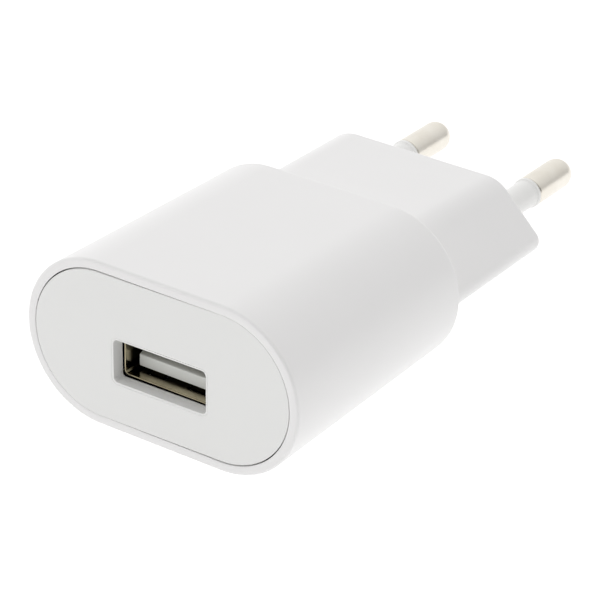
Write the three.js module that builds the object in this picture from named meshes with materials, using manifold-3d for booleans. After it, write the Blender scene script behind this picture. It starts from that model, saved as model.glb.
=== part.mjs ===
// USB wall charger with a fixed two-pin mains plug, as an assembly of its separate pieces.
// Millimetres, +Z up. +X is the width, +Y runs from the USB face to the pin tips. Inside the
// group, y is measured from the USB face and z from the axis of the body.

import * as THREE from 'three';
import { mergeVertices } from 'three/addons/utils/BufferGeometryUtils.js';
import Module from 'manifold-3d';

const wasm = await Module();
wasm.setup();

// ---------------------------------------------------------------- driving dimensions

// Body: a tube with round ends, slightly smaller at the plug end so that it leaves its mould.
const BODY_LENGTH = 34.0;
const FACE_WIDTH = 38.7;
const FACE_HEIGHT = 21.3;
const SIDE_DRAFT = 0.55; // how much each side draws in over the body's length
const TOP_DRAFT = 0.77;
const BODY_WALL = 1.9;
const REAR_WALL = 1.9;
const FRONT_EDGE = 0.35; // rounding of the outer front edge
const REAR_EDGE = 0.4;
const RIM_WIDTH = 1.2; // flat rim around the face plate

// Neck: the six-sided plug body that goes into the socket recess.
const NECK_LENGTH = 20.1;
const NECK_WIDTH = 35.6;
const NECK_HEIGHT = 13.8;
const NECK_SLANT = 45; // degrees between a slanted face and the flat top
const NECK_SIDE_DRAFT = 0.2;
const NECK_TOP_DRAFT = 0.6;
const NECK_DROP = 0.25; // the neck's axis lies this far below the body's
const NECK_WALL = 1.8;
const NECK_END_WALL = 2.8;
const NECK_TOP_RADIUS = 4.4;
const NECK_SIDE_RADIUS = 1.5;
const NECK_END_EDGE = 0.9;

// Pins and their insulating sleeves.
const PIN_SPACING = 18.6;
const PIN_DIAMETER = 4.0;
const PIN_LENGTH = 19.5;
const PIN_SHANK_DIAMETER = 2.9;
const PIN_FLANGE_DIAMETER = 5.6;
const PIN_FLANGE_THICKNESS = 1.1;
const PIN_STUB_LENGTH = 3.2; // behind the flange, where the lead is soldered
const SLEEVE_DIAMETER = 3.64;
const SLEEVE_LENGTH = 10.6;
const COLLAR_LENGTH = 0.85;
const COLLAR_DIAMETER = 4.04;
const COLLAR_RAMP = 0.25;

// Face plate.
const PLATE_THICKNESS = 1.6;
const PLATE_EDGE = 0.12;
const SKIRT_THICKNESS = 1.1;
const SKIRT_LENGTH = 2.4;

// USB socket.
const PORT_HEIGHT = -1.34; // centre of the port, measured from the body's axis
const SHELL_WIDTH = 12.9;
const SHELL_HEIGHT = 5.2;
const SHELL_LENGTH = 13.4;
const SHELL_SHEET = 0.25;
const SHELL_CORNER = 0.7;
const APERTURE_CORNER = 0.6;
const APERTURE_EDGE = 0.15;
const TONGUE_SIDE_GAP = 0.65; // between the tongue and the shell's sides
const TONGUE_THICKNESS = 1.84;
const TONGUE_GAP = 0.45; // below the tongue
const TONGUE_SETBACK = 1.75; // from the shell's mouth to the tongue
const TONGUE_CHAMFER = 0.35;
const SOCKET_BLOCK_LENGTH = 3.0; // the solid rear part of the insulator
const CONTACT_WIDTH = 1.0;
const CONTACT_SHEET = 0.22;
const CONTACT_PLACES = [-3.5, -1.0, 1.0, 3.5];
const CONTACT_SETBACKS = [1.35, 2.35, 2.35, 1.35]; // from the tongue's front to the free ends
const CONTACT_CROWN = 0.32; // how far the crown stands above the tongue
const GROOVE_DEPTH = 1.15; // leaves room for a contact to flex
const CATCH_PLACE = 2.9; // half the distance between the two catch springs of a wall
const CATCH_WIDTH = 1.9;
const CATCH_LENGTH = 7.8;
const CATCH_REACH = 0.35; // how far the bend stands into the port
const CATCH_WINDOW_START = 1.35; // from the shell's mouth

// Circuit board, held above the socket.
const BOARD_THICKNESS = 1.2;
const BOARD_SIDE_GAP = 0.78; // between the board's edge and the wall at the cavity's rear
const BOARD_STANDOFF = 0.7; // between the socket's shell and the board
const SOCKET_SIDE_ROOM = 0.5; // beside the socket, to the capacitors
const CORE_SIDE_ROOM = 0.85; // beside the transformer, to the capacitors
const LEAD_PROUD = 0.8; // how far leads stand out of the board's top
const BOARD_TONGUE_WIDTH = 19.0;
const BOARD_TO_STUBS = 2.1; // from the end of the board's tongue to the pins' stubs
const RAIL_THICKNESS = 0.9;
const RAIL_OVERLAP = 0.9; // how far a rail reaches under the board's edge

// Transformer: two E cores around a wound bobbin.
const CORE_WIDTH = 13.0;
const CORE_LENGTH = 12.4;
const CORE_THICKNESS = 4.2;
const CORE_LEG = 2.0;
const CORE_POST = 3.0;
const BOBBIN_WALL = 0.6;
const BOBBIN_FLANGE = 0.8;
const WINDING_THICKNESS = 1.6;
const CORE_TO_REAR = 2.4; // between the transformer's core and the body's rear wall

// Capacitors, which lie on their sides under the board.
const CAPACITOR_DIAMETER = 8.0;
const INPUT_CAPACITOR_LENGTH = 12.0;
const OUTPUT_CAPACITOR_LENGTH = 10.6;
const DISC_DIAMETER = 7.4;
const DISC_THICKNESS = 3.2;

// Clearances.
const SEAM_GAP = 0.22; // between the face plate and the rim
const FIT = 0.1; // between pieces that sit in or on one another
const SHELL_GAP = 0.15; // around the USB shell in the face plate
const SPRING_SLOT = 0.3; // beside a catch spring in its window
const HOLE_GAP = 0.12; // around a lead in its board hole
const COMPONENT_GAP = 0.3; // between a component and the board

const ARC_STEPS = 22; // on each half circle of the body
const MIN_RADIUS = 0.3; // smallest corner inside a wall

// ---------------------------------------------------------------- derived sizes

// Distance from the middle to the inside of the body's round side, at height z and length y.
function wallAt(z, y) {
  const along = y / BODY_LENGTH;
  const radius = FACE_HEIGHT / 2 - TOP_DRAFT * along - BODY_WALL;
  const middle = FACE_WIDTH / 2 - SIDE_DRAFT * along - BODY_WALL - radius;
  return middle + Math.sqrt(radius ** 2 - z ** 2);
}

const neckEnd = BODY_LENGTH + NECK_LENGTH;
const overallLength = neckEnd + PIN_LENGTH;
const pinX = PIN_SPACING / 2;
const pinZ = -NECK_DROP;

const openingWidth = FACE_WIDTH - 2 * RIM_WIDTH;
const openingHeight = FACE_HEIGHT - 2 * RIM_WIDTH;

const shellFront = PLATE_THICKNESS + SHELL_GAP;
const shellRear = shellFront + SHELL_LENGTH;
const shellTop = PORT_HEIGHT + SHELL_HEIGHT / 2;
const shellBottom = PORT_HEIGHT - SHELL_HEIGHT / 2;
const apertureWidth = SHELL_WIDTH + 2 * SHELL_GAP;
const apertureHeight = SHELL_HEIGHT + 2 * SHELL_GAP;
const tongueFront = shellFront + TONGUE_SETBACK;
const tongueBottom = shellBottom + SHELL_SHEET + TONGUE_GAP;
const tongueTop = tongueBottom + TONGUE_THICKNESS;
const tongueWidth = SHELL_WIDTH - 2 * (SHELL_SHEET + TONGUE_SIDE_GAP);
const blockFront = shellRear - SOCKET_BLOCK_LENGTH;
const contactRoot = blockFront + 0.6;

const boardBottom = shellTop + BOARD_STANDOFF;
const boardTop = boardBottom + BOARD_THICKNESS;
const boardFront = PLATE_THICKNESS + SKIRT_LENGTH + FIT;
const boardShoulder = BODY_LENGTH - REAR_WALL - FIT;
const stubEnd = neckEnd - NECK_END_WALL - PIN_STUB_LENGTH;
const boardTongueEnd = stubEnd - BOARD_TO_STUBS;
const boardWidth = 2 * (wallAt(boardTop, BODY_LENGTH - REAR_WALL) - BOARD_SIDE_GAP);
const transformerFront = BODY_LENGTH - REAR_WALL - CORE_TO_REAR - CORE_LENGTH;

// ---------------------------------------------------------------- outlines and solids

// Corners (x, z) joined by straight lines, each corner rounded with its own radius.
function roundedOutline(corners, radii, steps = 6) {
  const points = [];
  corners.forEach(([x, z], i) => {
    const corner = new THREE.Vector2(x, z);
    const before = new THREE.Vector2(...corners.at(i - 1)).sub(corner).normalize();
    const after = new THREE.Vector2(...corners[(i + 1) % corners.length]).sub(corner).normalize();
    const half = Math.acos(before.dot(after)) / 2;
    const middle = before.clone().add(after).normalize();
    const centre = corner.clone().addScaledVector(middle, radii[i] / Math.sin(half));
    const start = corner.clone().addScaledVector(before, radii[i] / Math.tan(half)).sub(centre);
    const sweep = Math.PI - 2 * half;
    for (let k = 0; k <= steps; k += 1) {
      points.push(start.clone().rotateAround(new THREE.Vector2(), (sweep * k) / steps).add(centre));
    }
  });
  return points;
}

// Anticlockwise stadium: two straight sides and two half circles.
function stadium(width, height, z = 0) {
  const radius = height / 2;
  const reach = width / 2 - radius;
  const points = [];
  for (const [side, from] of [[1, -Math.PI / 2], [-1, Math.PI / 2]]) {
    for (let k = 0; k <= ARC_STEPS; k += 1) {
      const angle = from + (Math.PI * k) / ARC_STEPS;
      points.push(new THREE.Vector2(
        side * reach + radius * Math.cos(angle),
        z + radius * Math.sin(angle),
      ));
    }
  }
  return points;
}

function roundedRectangle(width, height, radius, x = 0, z = 0) {
  const [w, h] = [width / 2, height / 2];
  const corners = [[x + w, z - h], [x + w, z + h], [x - w, z + h], [x - w, z - h]];
  return roundedOutline(corners, [radius, radius, radius, radius]);
}

// Solid through a row of equal outlines, each at its own y, closed by flat ends.
function loft(sections) {
  const count = sections[0].outline.length;
  const positions = sections.flatMap(({ outline, y }) => outline.flatMap((p) => [p.x, y, p.y]));
  const index = [];
  for (let s = 0; s + 1 < sections.length; s += 1) {
    for (let i = 0; i < count; i += 1) {
      const a = s * count + i;
      const b = s * count + ((i + 1) % count);
      index.push(a, a + count, b, b, a + count, b + count);
    }
  }
  const last = (sections.length - 1) * count;
  for (let i = 1; i + 1 < count; i += 1) {
    index.push(0, i, i + 1, last, last + i + 1, last + i);
  }
  const geometry = new THREE.BufferGeometry();
  geometry.setAttribute('position', new THREE.Float32BufferAttribute(positions, 3));
  geometry.setIndex(index);
  return geometry;
}

const prism = (outline, y0, y1) => loft([{ outline, y: y0 }, { outline, y: y1 }]);

const box = (x0, x1, y0, y1, z0, z1) => new THREE.BoxGeometry(x1 - x0, y1 - y0, z1 - z0)
  .translate((x0 + x1) / 2, (y0 + y1) / 2, (z0 + z1) / 2);

const rodAlongY = (radius, y0, y1, x = 0, z = 0, sides = 24) => (
  new THREE.CylinderGeometry(radius, radius, y1 - y0, sides).translate(x, (y0 + y1) / 2, z));

const rodAlongZ = (radius, z0, z1, x, y, sides = 8) => (
  new THREE.CylinderGeometry(radius, radius, z1 - z0, sides)
    .rotateX(Math.PI / 2).translate(x, y, (z0 + z1) / 2));

const rodAlongX = (radius, x0, x1, y, z, sides = 16) => (
  new THREE.CylinderGeometry(radius, radius, x1 - x0, sides)
    .rotateZ(Math.PI / 2).translate((x0 + x1) / 2, y, z));

// A flat profile of (y, z) points, extruded along X between x0 and x1.
function extrudeAlongX(profile, x0, x1) {
  const shape = new THREE.Shape(profile.map(([y, z]) => new THREE.Vector2(y, z)));
  const geometry = new THREE.ExtrudeGeometry(shape, { depth: x1 - x0, bevelEnabled: false });
  const basis = new THREE.Matrix4().makeBasis(
    new THREE.Vector3(0, 1, 0), new THREE.Vector3(0, 0, 1), new THREE.Vector3(1, 0, 0),
  );
  return geometry.applyMatrix4(basis).translate(x0, 0, 0);
}

// A strip of sheet that follows (y, z) points, as a closed profile around them.
function stripProfile(points, thickness) {
  const path = points.map(([y, z]) => new THREE.Vector2(y, z));
  const offset = (side) => path.map((point, i) => {
    const before = path[Math.max(i - 1, 0)];
    const after = path[Math.min(i + 1, path.length - 1)];
    const along = after.clone().sub(before).normalize();
    const [y, z] = [point.x - side * along.y * thickness / 2, point.y + side * along.x * thickness / 2];
    return [y, z];
  });
  return [...offset(-1), ...offset(1).reverse()];
}

// Round tube along a curve.
function wire(points, radius, steps = 12, sides = 8) {
  const curve = new THREE.CatmullRomCurve3(points.map((p) => new THREE.Vector3(...p)));
  const section = new THREE.Shape();
  section.absarc(0, 0, radius, 0, 2 * Math.PI);
  const options = { extrudePath: curve, steps, curveSegments: sides / 2, bevelEnabled: false };
  return new THREE.ExtrudeGeometry(section, options);
}

// ---------------------------------------------------------------- joins and cuts

function toManifold(geometry) {
  const bare = geometry.clone();
  for (const name of Object.keys(bare.attributes)) {
    if (name !== 'position') bare.deleteAttribute(name);
  }
  const merged = mergeVertices(bare, 1e-4);
  return new wasm.Manifold(new wasm.Mesh({
    numProp: 3,
    vertProperties: new Float32Array(merged.attributes.position.array),
    triVerts: new Uint32Array(merged.index.array),
  }));
}

function toGeometry(manifold) {
  const mesh = manifold.getMesh();
  const geometry = new THREE.BufferGeometry();
  const positions = new Float32Array(mesh.vertProperties);
  geometry.setAttribute('position', new THREE.BufferAttribute(positions, 3));
  geometry.setIndex(new THREE.BufferAttribute(new Uint32Array(mesh.triVerts), 1));
  geometry.computeVertexNormals();
  return geometry;
}

const join = (...geometries) => toGeometry(
  geometries.map(toManifold).reduce((whole, next) => whole.add(next)),
);

const cut = (geometry, ...tools) => toGeometry(
  tools.map(toManifold).reduce((whole, tool) => whole.subtract(tool), toManifold(geometry)),
);

const common = (a, b) => toGeometry(toManifold(a).intersect(toManifold(b)));

// ---------------------------------------------------------------- materials and assembly

const finish = (color, roughness, metalness = 0) => (
  () => new THREE.MeshStandardMaterial({ color, roughness, metalness }));

const whitePlastic = finish(0xefefed, 0.45);
const faceWhite = finish(0xe4e4e1, 0.6);
const sleeveWhite = finish(0xd9d9d8, 0.5);
const nickel = finish(0xbdb6a8, 0.28, 1);
const tinnedSteel = finish(0x9c9486, 0.35, 1);
const tongueGrey = finish(0xc3c5c0, 0.6);
const springBronze = finish(0xc9a25c, 0.35, 1);
const boardGreen = finish(0x2f5d3a, 0.6);
const ferrite = finish(0x2b2b2d, 0.7);
const bobbinBlack = finish(0x1c1c1e, 0.5);
const tapeYellow = finish(0xd9b13b, 0.4);
const capacitorBrown = finish(0x3b2a24, 0.4);
const capacitorGreen = finish(0x2e4a3d, 0.4);
const ceramicBlue = finish(0x2f5fa8, 0.5);
const epoxyBlack = finish(0x17181a, 0.6);
const resistorGreen = finish(0x4c7a5a, 0.6);
const chipTan = finish(0xb59a74, 0.6);
const wireRed = finish(0xa3262b, 0.5);
const sheetGrey = finish(0x9b9a92, 0.8);

const charger = new THREE.Group();
const inside = new THREE.Group();
inside.position.set(0, -overallLength / 2, FACE_HEIGHT / 2);
charger.add(inside);

function place(name, geometry, material) {
  const mesh = new THREE.Mesh(geometry, material());
  mesh.name = name;
  inside.add(mesh);
  return mesh;
}

const sides = [['left', -1], ['right', 1]];

// ---------------------------------------------------------------- leads through the board

const boardHoles = []; // { x, y, radius }, filled by each piece that has leads

// A lead that goes up through the board, and the hole for it.
function leadThroughBoard(x, y, from, radius = 0.3) {
  boardHoles.push({ x, y, radius: radius + HOLE_GAP });
  return rodAlongZ(radius, from, boardTop + LEAD_PROUD, x, y);
}

// ---------------------------------------------------------------- body and neck sections

// Outline of the body's outside at y, less an inset on every side.
function bodySection(y, inset = 0) {
  const along = y / BODY_LENGTH;
  const width = FACE_WIDTH - 2 * SIDE_DRAFT * along - 2 * inset;
  const height = FACE_HEIGHT - 2 * TOP_DRAFT * along - 2 * inset;
  return stadium(width, height);
}

// The neck's outline at y: flat top and bottom, and two slanted faces that meet at each side.
function neckSection(y, inset = 0) {
  const back = (neckEnd - y) / NECK_LENGTH;
  const half = NECK_WIDTH / 2 + NECK_SIDE_DRAFT * back - inset;
  const rise = NECK_HEIGHT / 2 + NECK_TOP_DRAFT * back - inset;
  const slant = THREE.MathUtils.degToRad(NECK_SLANT);
  const sideRadius = Math.max(NECK_SIDE_RADIUS - inset, MIN_RADIUS);
  const topRadius = Math.max(NECK_TOP_RADIUS - inset, MIN_RADIUS);
  // Rounding draws a side corner in, so before rounding it stands further out.
  const corner = half + sideRadius * (1 / Math.sin(slant) - 1);
  const flat = corner - rise / Math.tan(slant);
  const corners = [
    [corner, pinZ], [flat, pinZ + rise], [-flat, pinZ + rise],
    [-corner, pinZ], [-flat, pinZ - rise], [flat, pinZ - rise],
  ];
  const radii = [sideRadius, topRadius, topRadius, sideRadius, topRadius, topRadius];
  return roundedOutline(corners, radii);
}

// Steps of a rounded edge, from the end face (depth 0) to the full outline (inset 0).
function edgeSteps(radius, steps = 3) {
  return Array.from({ length: steps + 1 }, (_, k) => {
    const angle = (Math.PI / 2) * (k / steps);
    return { depth: radius * (1 - Math.cos(angle)), inset: radius * (1 - Math.sin(angle)) };
  });
}

// ---------------------------------------------------------------- housing

const cavityFront = PLATE_THICKNESS + FIT;
const cavityRear = BODY_LENGTH - REAR_WALL;
const neckCavityEnd = neckEnd - NECK_END_WALL;

function makeHousing() {
  const body = loft([
    ...edgeSteps(FRONT_EDGE).map(({ depth, inset }) => (
      { y: depth, outline: bodySection(depth, inset) })),
    ...edgeSteps(REAR_EDGE).reverse().map(({ depth, inset }) => (
      { y: BODY_LENGTH - depth, outline: bodySection(BODY_LENGTH - depth, inset) })),
  ]);
  const neck = loft([
    { y: BODY_LENGTH - REAR_WALL / 2, outline: neckSection(BODY_LENGTH - REAR_WALL / 2) },
    ...edgeSteps(NECK_END_EDGE, 4).reverse().map(({ depth, inset }) => (
      { y: neckEnd - depth, outline: neckSection(neckEnd - depth, inset) })),
  ]);

  const opening = prism(stadium(openingWidth, openingHeight), -1, cavityFront);
  const bodyCavity = loft([cavityFront - 1, cavityRear].map((y) => (
    { y, outline: bodySection(y, BODY_WALL) })));
  const neckCavity = loft([cavityRear - 1, neckCavityEnd].map((y) => (
    { y, outline: neckSection(y, NECK_WALL) })));
  const bores = sides.flatMap(([, side]) => [
    rodAlongY(SLEEVE_DIAMETER / 2 + FIT, neckCavityEnd - 1, neckEnd + 1, side * pinX, pinZ),
    rodAlongY(
      PIN_FLANGE_DIAMETER / 2 + FIT, neckCavityEnd - 1, neckCavityEnd + PIN_FLANGE_THICKNESS,
      side * pinX, pinZ,
    ),
  ]);
  const hollow = cut(join(body, neck), opening, bodyCavity, neckCavity, ...bores);

  // Two pairs of rails hold the board's long edges.
  const railInner = boardWidth / 2 - RAIL_OVERLAP;
  const railSpans = [
    [boardBottom - FIT - RAIL_THICKNESS, boardBottom - FIT],
    [boardTop + FIT, boardTop + FIT + RAIL_THICKNESS],
  ];
  const railBars = sides.flatMap(([, side]) => railSpans.map(([z0, z1]) => {
    const [x0, x1] = side < 0 ? [-FACE_WIDTH / 2, -railInner] : [railInner, FACE_WIDTH / 2];
    return box(x0, x1, boardFront + FIT, boardShoulder - FIT, z0, z1);
  }));
  const outside = loft([cavityFront, cavityRear].map((y) => (
    { y, outline: bodySection(y, BODY_WALL / 2) })));
  return join(hollow, ...railBars.map((bar) => common(bar, outside)));
}

place('housing', makeHousing(), whitePlastic);

// ---------------------------------------------------------------- face plate

function makeFacePlate() {
  const width = openingWidth - 2 * SEAM_GAP;
  const height = openingHeight - 2 * SEAM_GAP;
  const plate = loft([
    { y: 0, outline: stadium(width - 2 * PLATE_EDGE, height - 2 * PLATE_EDGE) },
    { y: PLATE_EDGE, outline: stadium(width, height) },
    { y: PLATE_THICKNESS, outline: stadium(width, height) },
  ]);
  const skirtEnd = PLATE_THICKNESS + SKIRT_LENGTH;
  const skirt = loft([PLATE_THICKNESS - FIT, skirtEnd].map((y) => (
    { y, outline: bodySection(skirtEnd, BODY_WALL + FIT) })));
  const skirtHollow = loft([PLATE_THICKNESS, skirtEnd + 1].map((y) => (
    { y, outline: bodySection(skirtEnd, BODY_WALL + FIT + SKIRT_THICKNESS) })));
  const flare = APERTURE_EDGE;
  const aperture = loft([
    [-1, flare + 1], [0, flare], [flare, 0], [PLATE_THICKNESS + 1, 0],
  ].map(([y, extra]) => ({
    y,
    outline: roundedRectangle(
      apertureWidth + 2 * extra, apertureHeight + 2 * extra, APERTURE_CORNER + extra,
      0, PORT_HEIGHT,
    ),
  })));
  return cut(join(plate, cut(skirt, skirtHollow)), aperture);
}

place('face_plate', makeFacePlate(), faceWhite);

// ---------------------------------------------------------------- pins, sleeves and leads

const metalStart = SLEEVE_LENGTH + FIT; // measured from the neck's end face

function makePin(side) {
  const radius = PIN_DIAMETER / 2;
  const shank = PIN_SHANK_DIAMETER / 2;
  const flange = PIN_FLANGE_DIAMETER / 2;
  const bevel = 0.15;
  const domeSteps = 7;
  const profile = [
    [0, stubEnd], [shank, stubEnd],
    [shank, neckCavityEnd], [flange, neckCavityEnd],
    [flange, neckCavityEnd + PIN_FLANGE_THICKNESS - FIT],
    [shank, neckCavityEnd + PIN_FLANGE_THICKNESS - FIT],
    [shank, neckEnd + metalStart], [radius - bevel, neckEnd + metalStart],
    [radius, neckEnd + metalStart + bevel],
  ];
  for (let k = 0; k <= domeSteps; k += 1) {
    const angle = (Math.PI / 2) * (k / domeSteps);
    const distance = k === domeSteps ? 0 : radius * Math.cos(angle);
    profile.push([distance, overallLength - radius + radius * Math.sin(angle)]);
  }
  const points = profile.map(([distance, y]) => new THREE.Vector2(distance, y));
  return new THREE.LatheGeometry(points, 28).translate(side * pinX, 0, pinZ);
}

function makeSleeve(side) {
  const bore = PIN_SHANK_DIAMETER / 2 + FIT / 2;
  const outer = SLEEVE_DIAMETER / 2;
  const collar = COLLAR_DIAMETER / 2;
  const start = neckCavityEnd + PIN_FLANGE_THICKNESS;
  const end = neckEnd + SLEEVE_LENGTH;
  const profile = [
    [bore, start], [outer, start],
    [outer, end - COLLAR_LENGTH - COLLAR_RAMP], [collar, end - COLLAR_LENGTH],
    [collar, end], [bore, end], [bore, start],
  ];
  const points = profile.map(([distance, y]) => new THREE.Vector2(distance, y));
  return new THREE.LatheGeometry(points, 28).translate(side * pinX, 0, pinZ);
}

// Insulated lead from a pin's stub to the board's underside.
function makeLead(side) {
  const padX = BOARD_TONGUE_WIDTH / 2 - 1.6;
  const padY = boardTongueEnd - 1.8;
  const jacket = wire([
    [side * pinX, stubEnd - 2 * FIT, pinZ],
    [side * pinX, stubEnd - 1.4, pinZ],
    [side * (padX + 0.3), padY + 0.5, pinZ + 0.2],
    [side * padX, padY, pinZ + 1.1],
    [side * padX, padY, boardBottom - COMPONENT_GAP],
  ], 0.65);
  return join(jacket, leadThroughBoard(side * padX, padY, boardBottom - 2 * COMPONENT_GAP, 0.4));
}

for (const [name, side] of sides) {
  place(`pin_${name}`, makePin(side), nickel);
  place(`pin_sleeve_${name}`, makeSleeve(side), sleeveWhite);
  place(`pin_lead_${name}`, makeLead(side), wireRed);
}

// ---------------------------------------------------------------- USB socket

const catchStart = shellFront + CATCH_WINDOW_START + SPRING_SLOT;
const catchEnd = catchStart + CATCH_LENGTH;
const walls = [['lower', -1], ['upper', 1]];
const shellLegs = [shellFront + 5.6, shellFront + 9.4];

function makeShell() {
  const [w, h] = [SHELL_WIDTH, SHELL_HEIGHT];
  const sheet = SHELL_SHEET;
  const outside = prism(roundedRectangle(w, h, SHELL_CORNER, 0, PORT_HEIGHT), shellFront, shellRear);
  const hollow = prism(
    roundedRectangle(w - 2 * sheet, h - 2 * sheet, SHELL_CORNER - sheet, 0, PORT_HEIGHT),
    shellFront - 1, shellRear + 1,
  );
  const windows = walls.flatMap(([, wall]) => sides.map(([, side]) => {
    const middle = side * CATCH_PLACE;
    const reach = CATCH_WIDTH / 2 + SPRING_SLOT;
    const z = PORT_HEIGHT + wall * (h / 2);
    const [y0, y1] = [catchStart - SPRING_SLOT, catchEnd + FIT];
    return box(middle - reach, middle + reach, y0, y1, z - 0.5, z + 0.5);
  }));
  const tube = cut(outside, hollow, ...windows);
  const legs = shellLegs.flatMap((y) => sides.map(([, side]) => {
    const [x0, x1] = side < 0 ? [-w / 2, -w / 2 + sheet] : [w / 2 - sheet, w / 2];
    return box(x0, x1, y, y + 1.6, PORT_HEIGHT, boardTop + LEAD_PROUD);
  }));
  return join(tube, ...legs);
}

place('usb_shell', makeShell(), tinnedSteel);

const grooveWidth = CONTACT_WIDTH + 2 * HOLE_GAP;
const beamLevel = tongueTop - CONTACT_SHEET / 2 - 0.06; // middle of a contact's flat stretch
const tailRear = shellRear + 0.5;

function makeInsulator() {
  const inner = SHELL_SHEET + FIT;
  const block = prism(roundedRectangle(
    SHELL_WIDTH - 2 * inner, SHELL_HEIGHT - 2 * inner, SHELL_CORNER - SHELL_SHEET, 0, PORT_HEIGHT,
  ), blockFront, shellRear);
  const c = TONGUE_CHAMFER;
  const tongue = extrudeAlongX([
    [tongueFront, tongueBottom + c / 2], [tongueFront + c / 2, tongueBottom],
    [blockFront + 0.5, tongueBottom], [blockFront + 0.5, tongueTop],
    [tongueFront + c, tongueTop], [tongueFront, tongueTop - c],
  ], -tongueWidth / 2, tongueWidth / 2);
  const grooves = CONTACT_PLACES.map((x) => box(
    x - grooveWidth / 2, x + grooveWidth / 2,
    tongueFront + 0.9, contactRoot, tongueTop - GROOVE_DEPTH, tongueTop + 1,
  ));
  // Slots that hold the contacts' roots and tails.
  const slots = CONTACT_PLACES.map((x) => box(
    x - grooveWidth / 2, x + grooveWidth / 2, blockFront - 1, shellRear + 1,
    beamLevel - CONTACT_SHEET / 2 - HOLE_GAP, beamLevel + CONTACT_SHEET / 2 + HOLE_GAP,
  ));
  return cut(join(block, tongue), ...grooves, ...slots);
}

place('usb_insulator', makeInsulator(), tongueGrey);

// A sprung contact: straight from its root, with a crown near the free end.
function makeContact(x, setback) {
  const free = tongueFront + setback;
  const z = beamLevel;
  const profile = stripProfile([
    [contactRoot - FIT, z], [free + 3.2, z], [free + 2.2, z + CONTACT_CROWN * 0.6],
    [free + 1.5, z + CONTACT_CROWN], [free + 0.8, z + CONTACT_CROWN * 0.6], [free, z - 0.3],
  ], CONTACT_SHEET);
  return extrudeAlongX(profile, x - CONTACT_WIDTH / 2, x + CONTACT_WIDTH / 2);
}

// The same contact's fixed tail, which leaves the block and turns up through the board.
function makeTail(x) {
  const z = beamLevel;
  const profile = stripProfile([
    [contactRoot, z], [tailRear - 0.4, z], [tailRear, z + 0.4], [tailRear, boardTop + LEAD_PROUD],
  ], CONTACT_SHEET);
  return extrudeAlongX(profile, x - CONTACT_WIDTH / 3, x + CONTACT_WIDTH / 3);
}

CONTACT_PLACES.forEach((x, i) => {
  place(`usb_contact_${i + 1}`, makeContact(x, CONTACT_SETBACKS[i]), springBronze);
  place(`usb_contact_tail_${i + 1}`, makeTail(x), springBronze);
});

// A catch spring: a tongue of the shell's sheet that bends into the port and out again.
function makeCatch(wall, side) {
  const z = PORT_HEIGHT + wall * (SHELL_HEIGHT / 2 - SHELL_SHEET / 2);
  const inward = (amount) => z - wall * amount;
  const profile = stripProfile([
    [catchEnd, inward(0)], [catchStart + 3.4, inward(CATCH_REACH * 0.7)],
    [catchStart + 1.9, inward(CATCH_REACH)], [catchStart + 1.1, inward(CATCH_REACH * 0.8)],
    [catchStart, inward(0.05)],
  ], SHELL_SHEET);
  const middle = side * CATCH_PLACE;
  return extrudeAlongX(profile, middle - CATCH_WIDTH / 2, middle + CATCH_WIDTH / 2);
}

for (const [wallName, wall] of walls) {
  for (const [sideName, side] of sides) {
    place(`usb_catch_${wallName}_${sideName}`, makeCatch(wall, side), tinnedSteel);
  }
}

// ---------------------------------------------------------------- board components

// Electrolytic capacitor lying along Y, with its two leads turned up into the board.
function makeCapacitor(x, y0, length) {
  const radius = CAPACITOR_DIAMETER / 2;
  const z = boardBottom - COMPONENT_GAP - radius;
  const end = y0 + length;
  const profile = [
    [0, y0 + 0.25], [radius - 0.9, y0 + 0.25], [radius - 0.7, y0], [radius - 0.25, y0],
    [radius, y0 + 0.25], [radius, y0 + 1.1], [radius - 0.3, y0 + 1.5], [radius, y0 + 1.9],
    [radius, end - 0.25], [radius - 0.25, end], [0, end],
  ].map(([distance, y]) => new THREE.Vector2(distance, y));
  const can = new THREE.LatheGeometry(profile, 24).translate(x, 0, z);
  const leads = [-1.75, 1.75].flatMap((offset) => {
    const leadX = x + offset;
    const leadY = y0 - 0.45;
    return [
      rodAlongY(0.3, leadY - 0.3, y0 + 1, leadX, z, 8),
      leadThroughBoard(leadX, leadY, z - 0.3),
    ];
  });
  return join(can, ...leads);
}

const besideCore = CORE_WIDTH / 2 + CORE_SIDE_ROOM + CAPACITOR_DIAMETER / 2;
const besideSocket = SHELL_WIDTH / 2 + SOCKET_SIDE_ROOM + CAPACITOR_DIAMETER / 2;
const inputCapacitorFront = cavityRear - 1.2 - INPUT_CAPACITOR_LENGTH;
for (const [name, side] of sides) {
  place(
    `input_capacitor_${name}`,
    makeCapacitor(side * besideCore, inputCapacitorFront, INPUT_CAPACITOR_LENGTH),
    capacitorBrown,
  );
}
const outputCapacitorFront = boardFront + 1.3;
place(
  'output_capacitor',
  makeCapacitor(-besideSocket, outputCapacitorFront, OUTPUT_CAPACITOR_LENGTH),
  capacitorGreen,
);

// Disc capacitor that bridges the mains side and the low-voltage side.
function makeDiscCapacitor(x, y) {
  const radius = DISC_DIAMETER / 2;
  const z = boardBottom - COMPONENT_GAP - 0.5 - radius;
  const half = DISC_THICKNESS / 2;
  const profile = [
    [0, y - half], [radius * 0.7, y - half * 0.92], [radius * 0.94, y - half * 0.5], [radius, y],
    [radius * 0.94, y + half * 0.5], [radius * 0.7, y + half * 0.92], [0, y + half],
  ].map(([distance, along]) => new THREE.Vector2(distance, along));
  const disc = new THREE.LatheGeometry(profile, 20).translate(x, 0, z);
  return join(disc, ...[-1.9, 1.9].map((offset) => leadThroughBoard(x + offset, y, z)));
}

place('safety_capacitor', makeDiscCapacitor(besideSocket, boardFront + 4.2), ceramicBlue);

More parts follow.
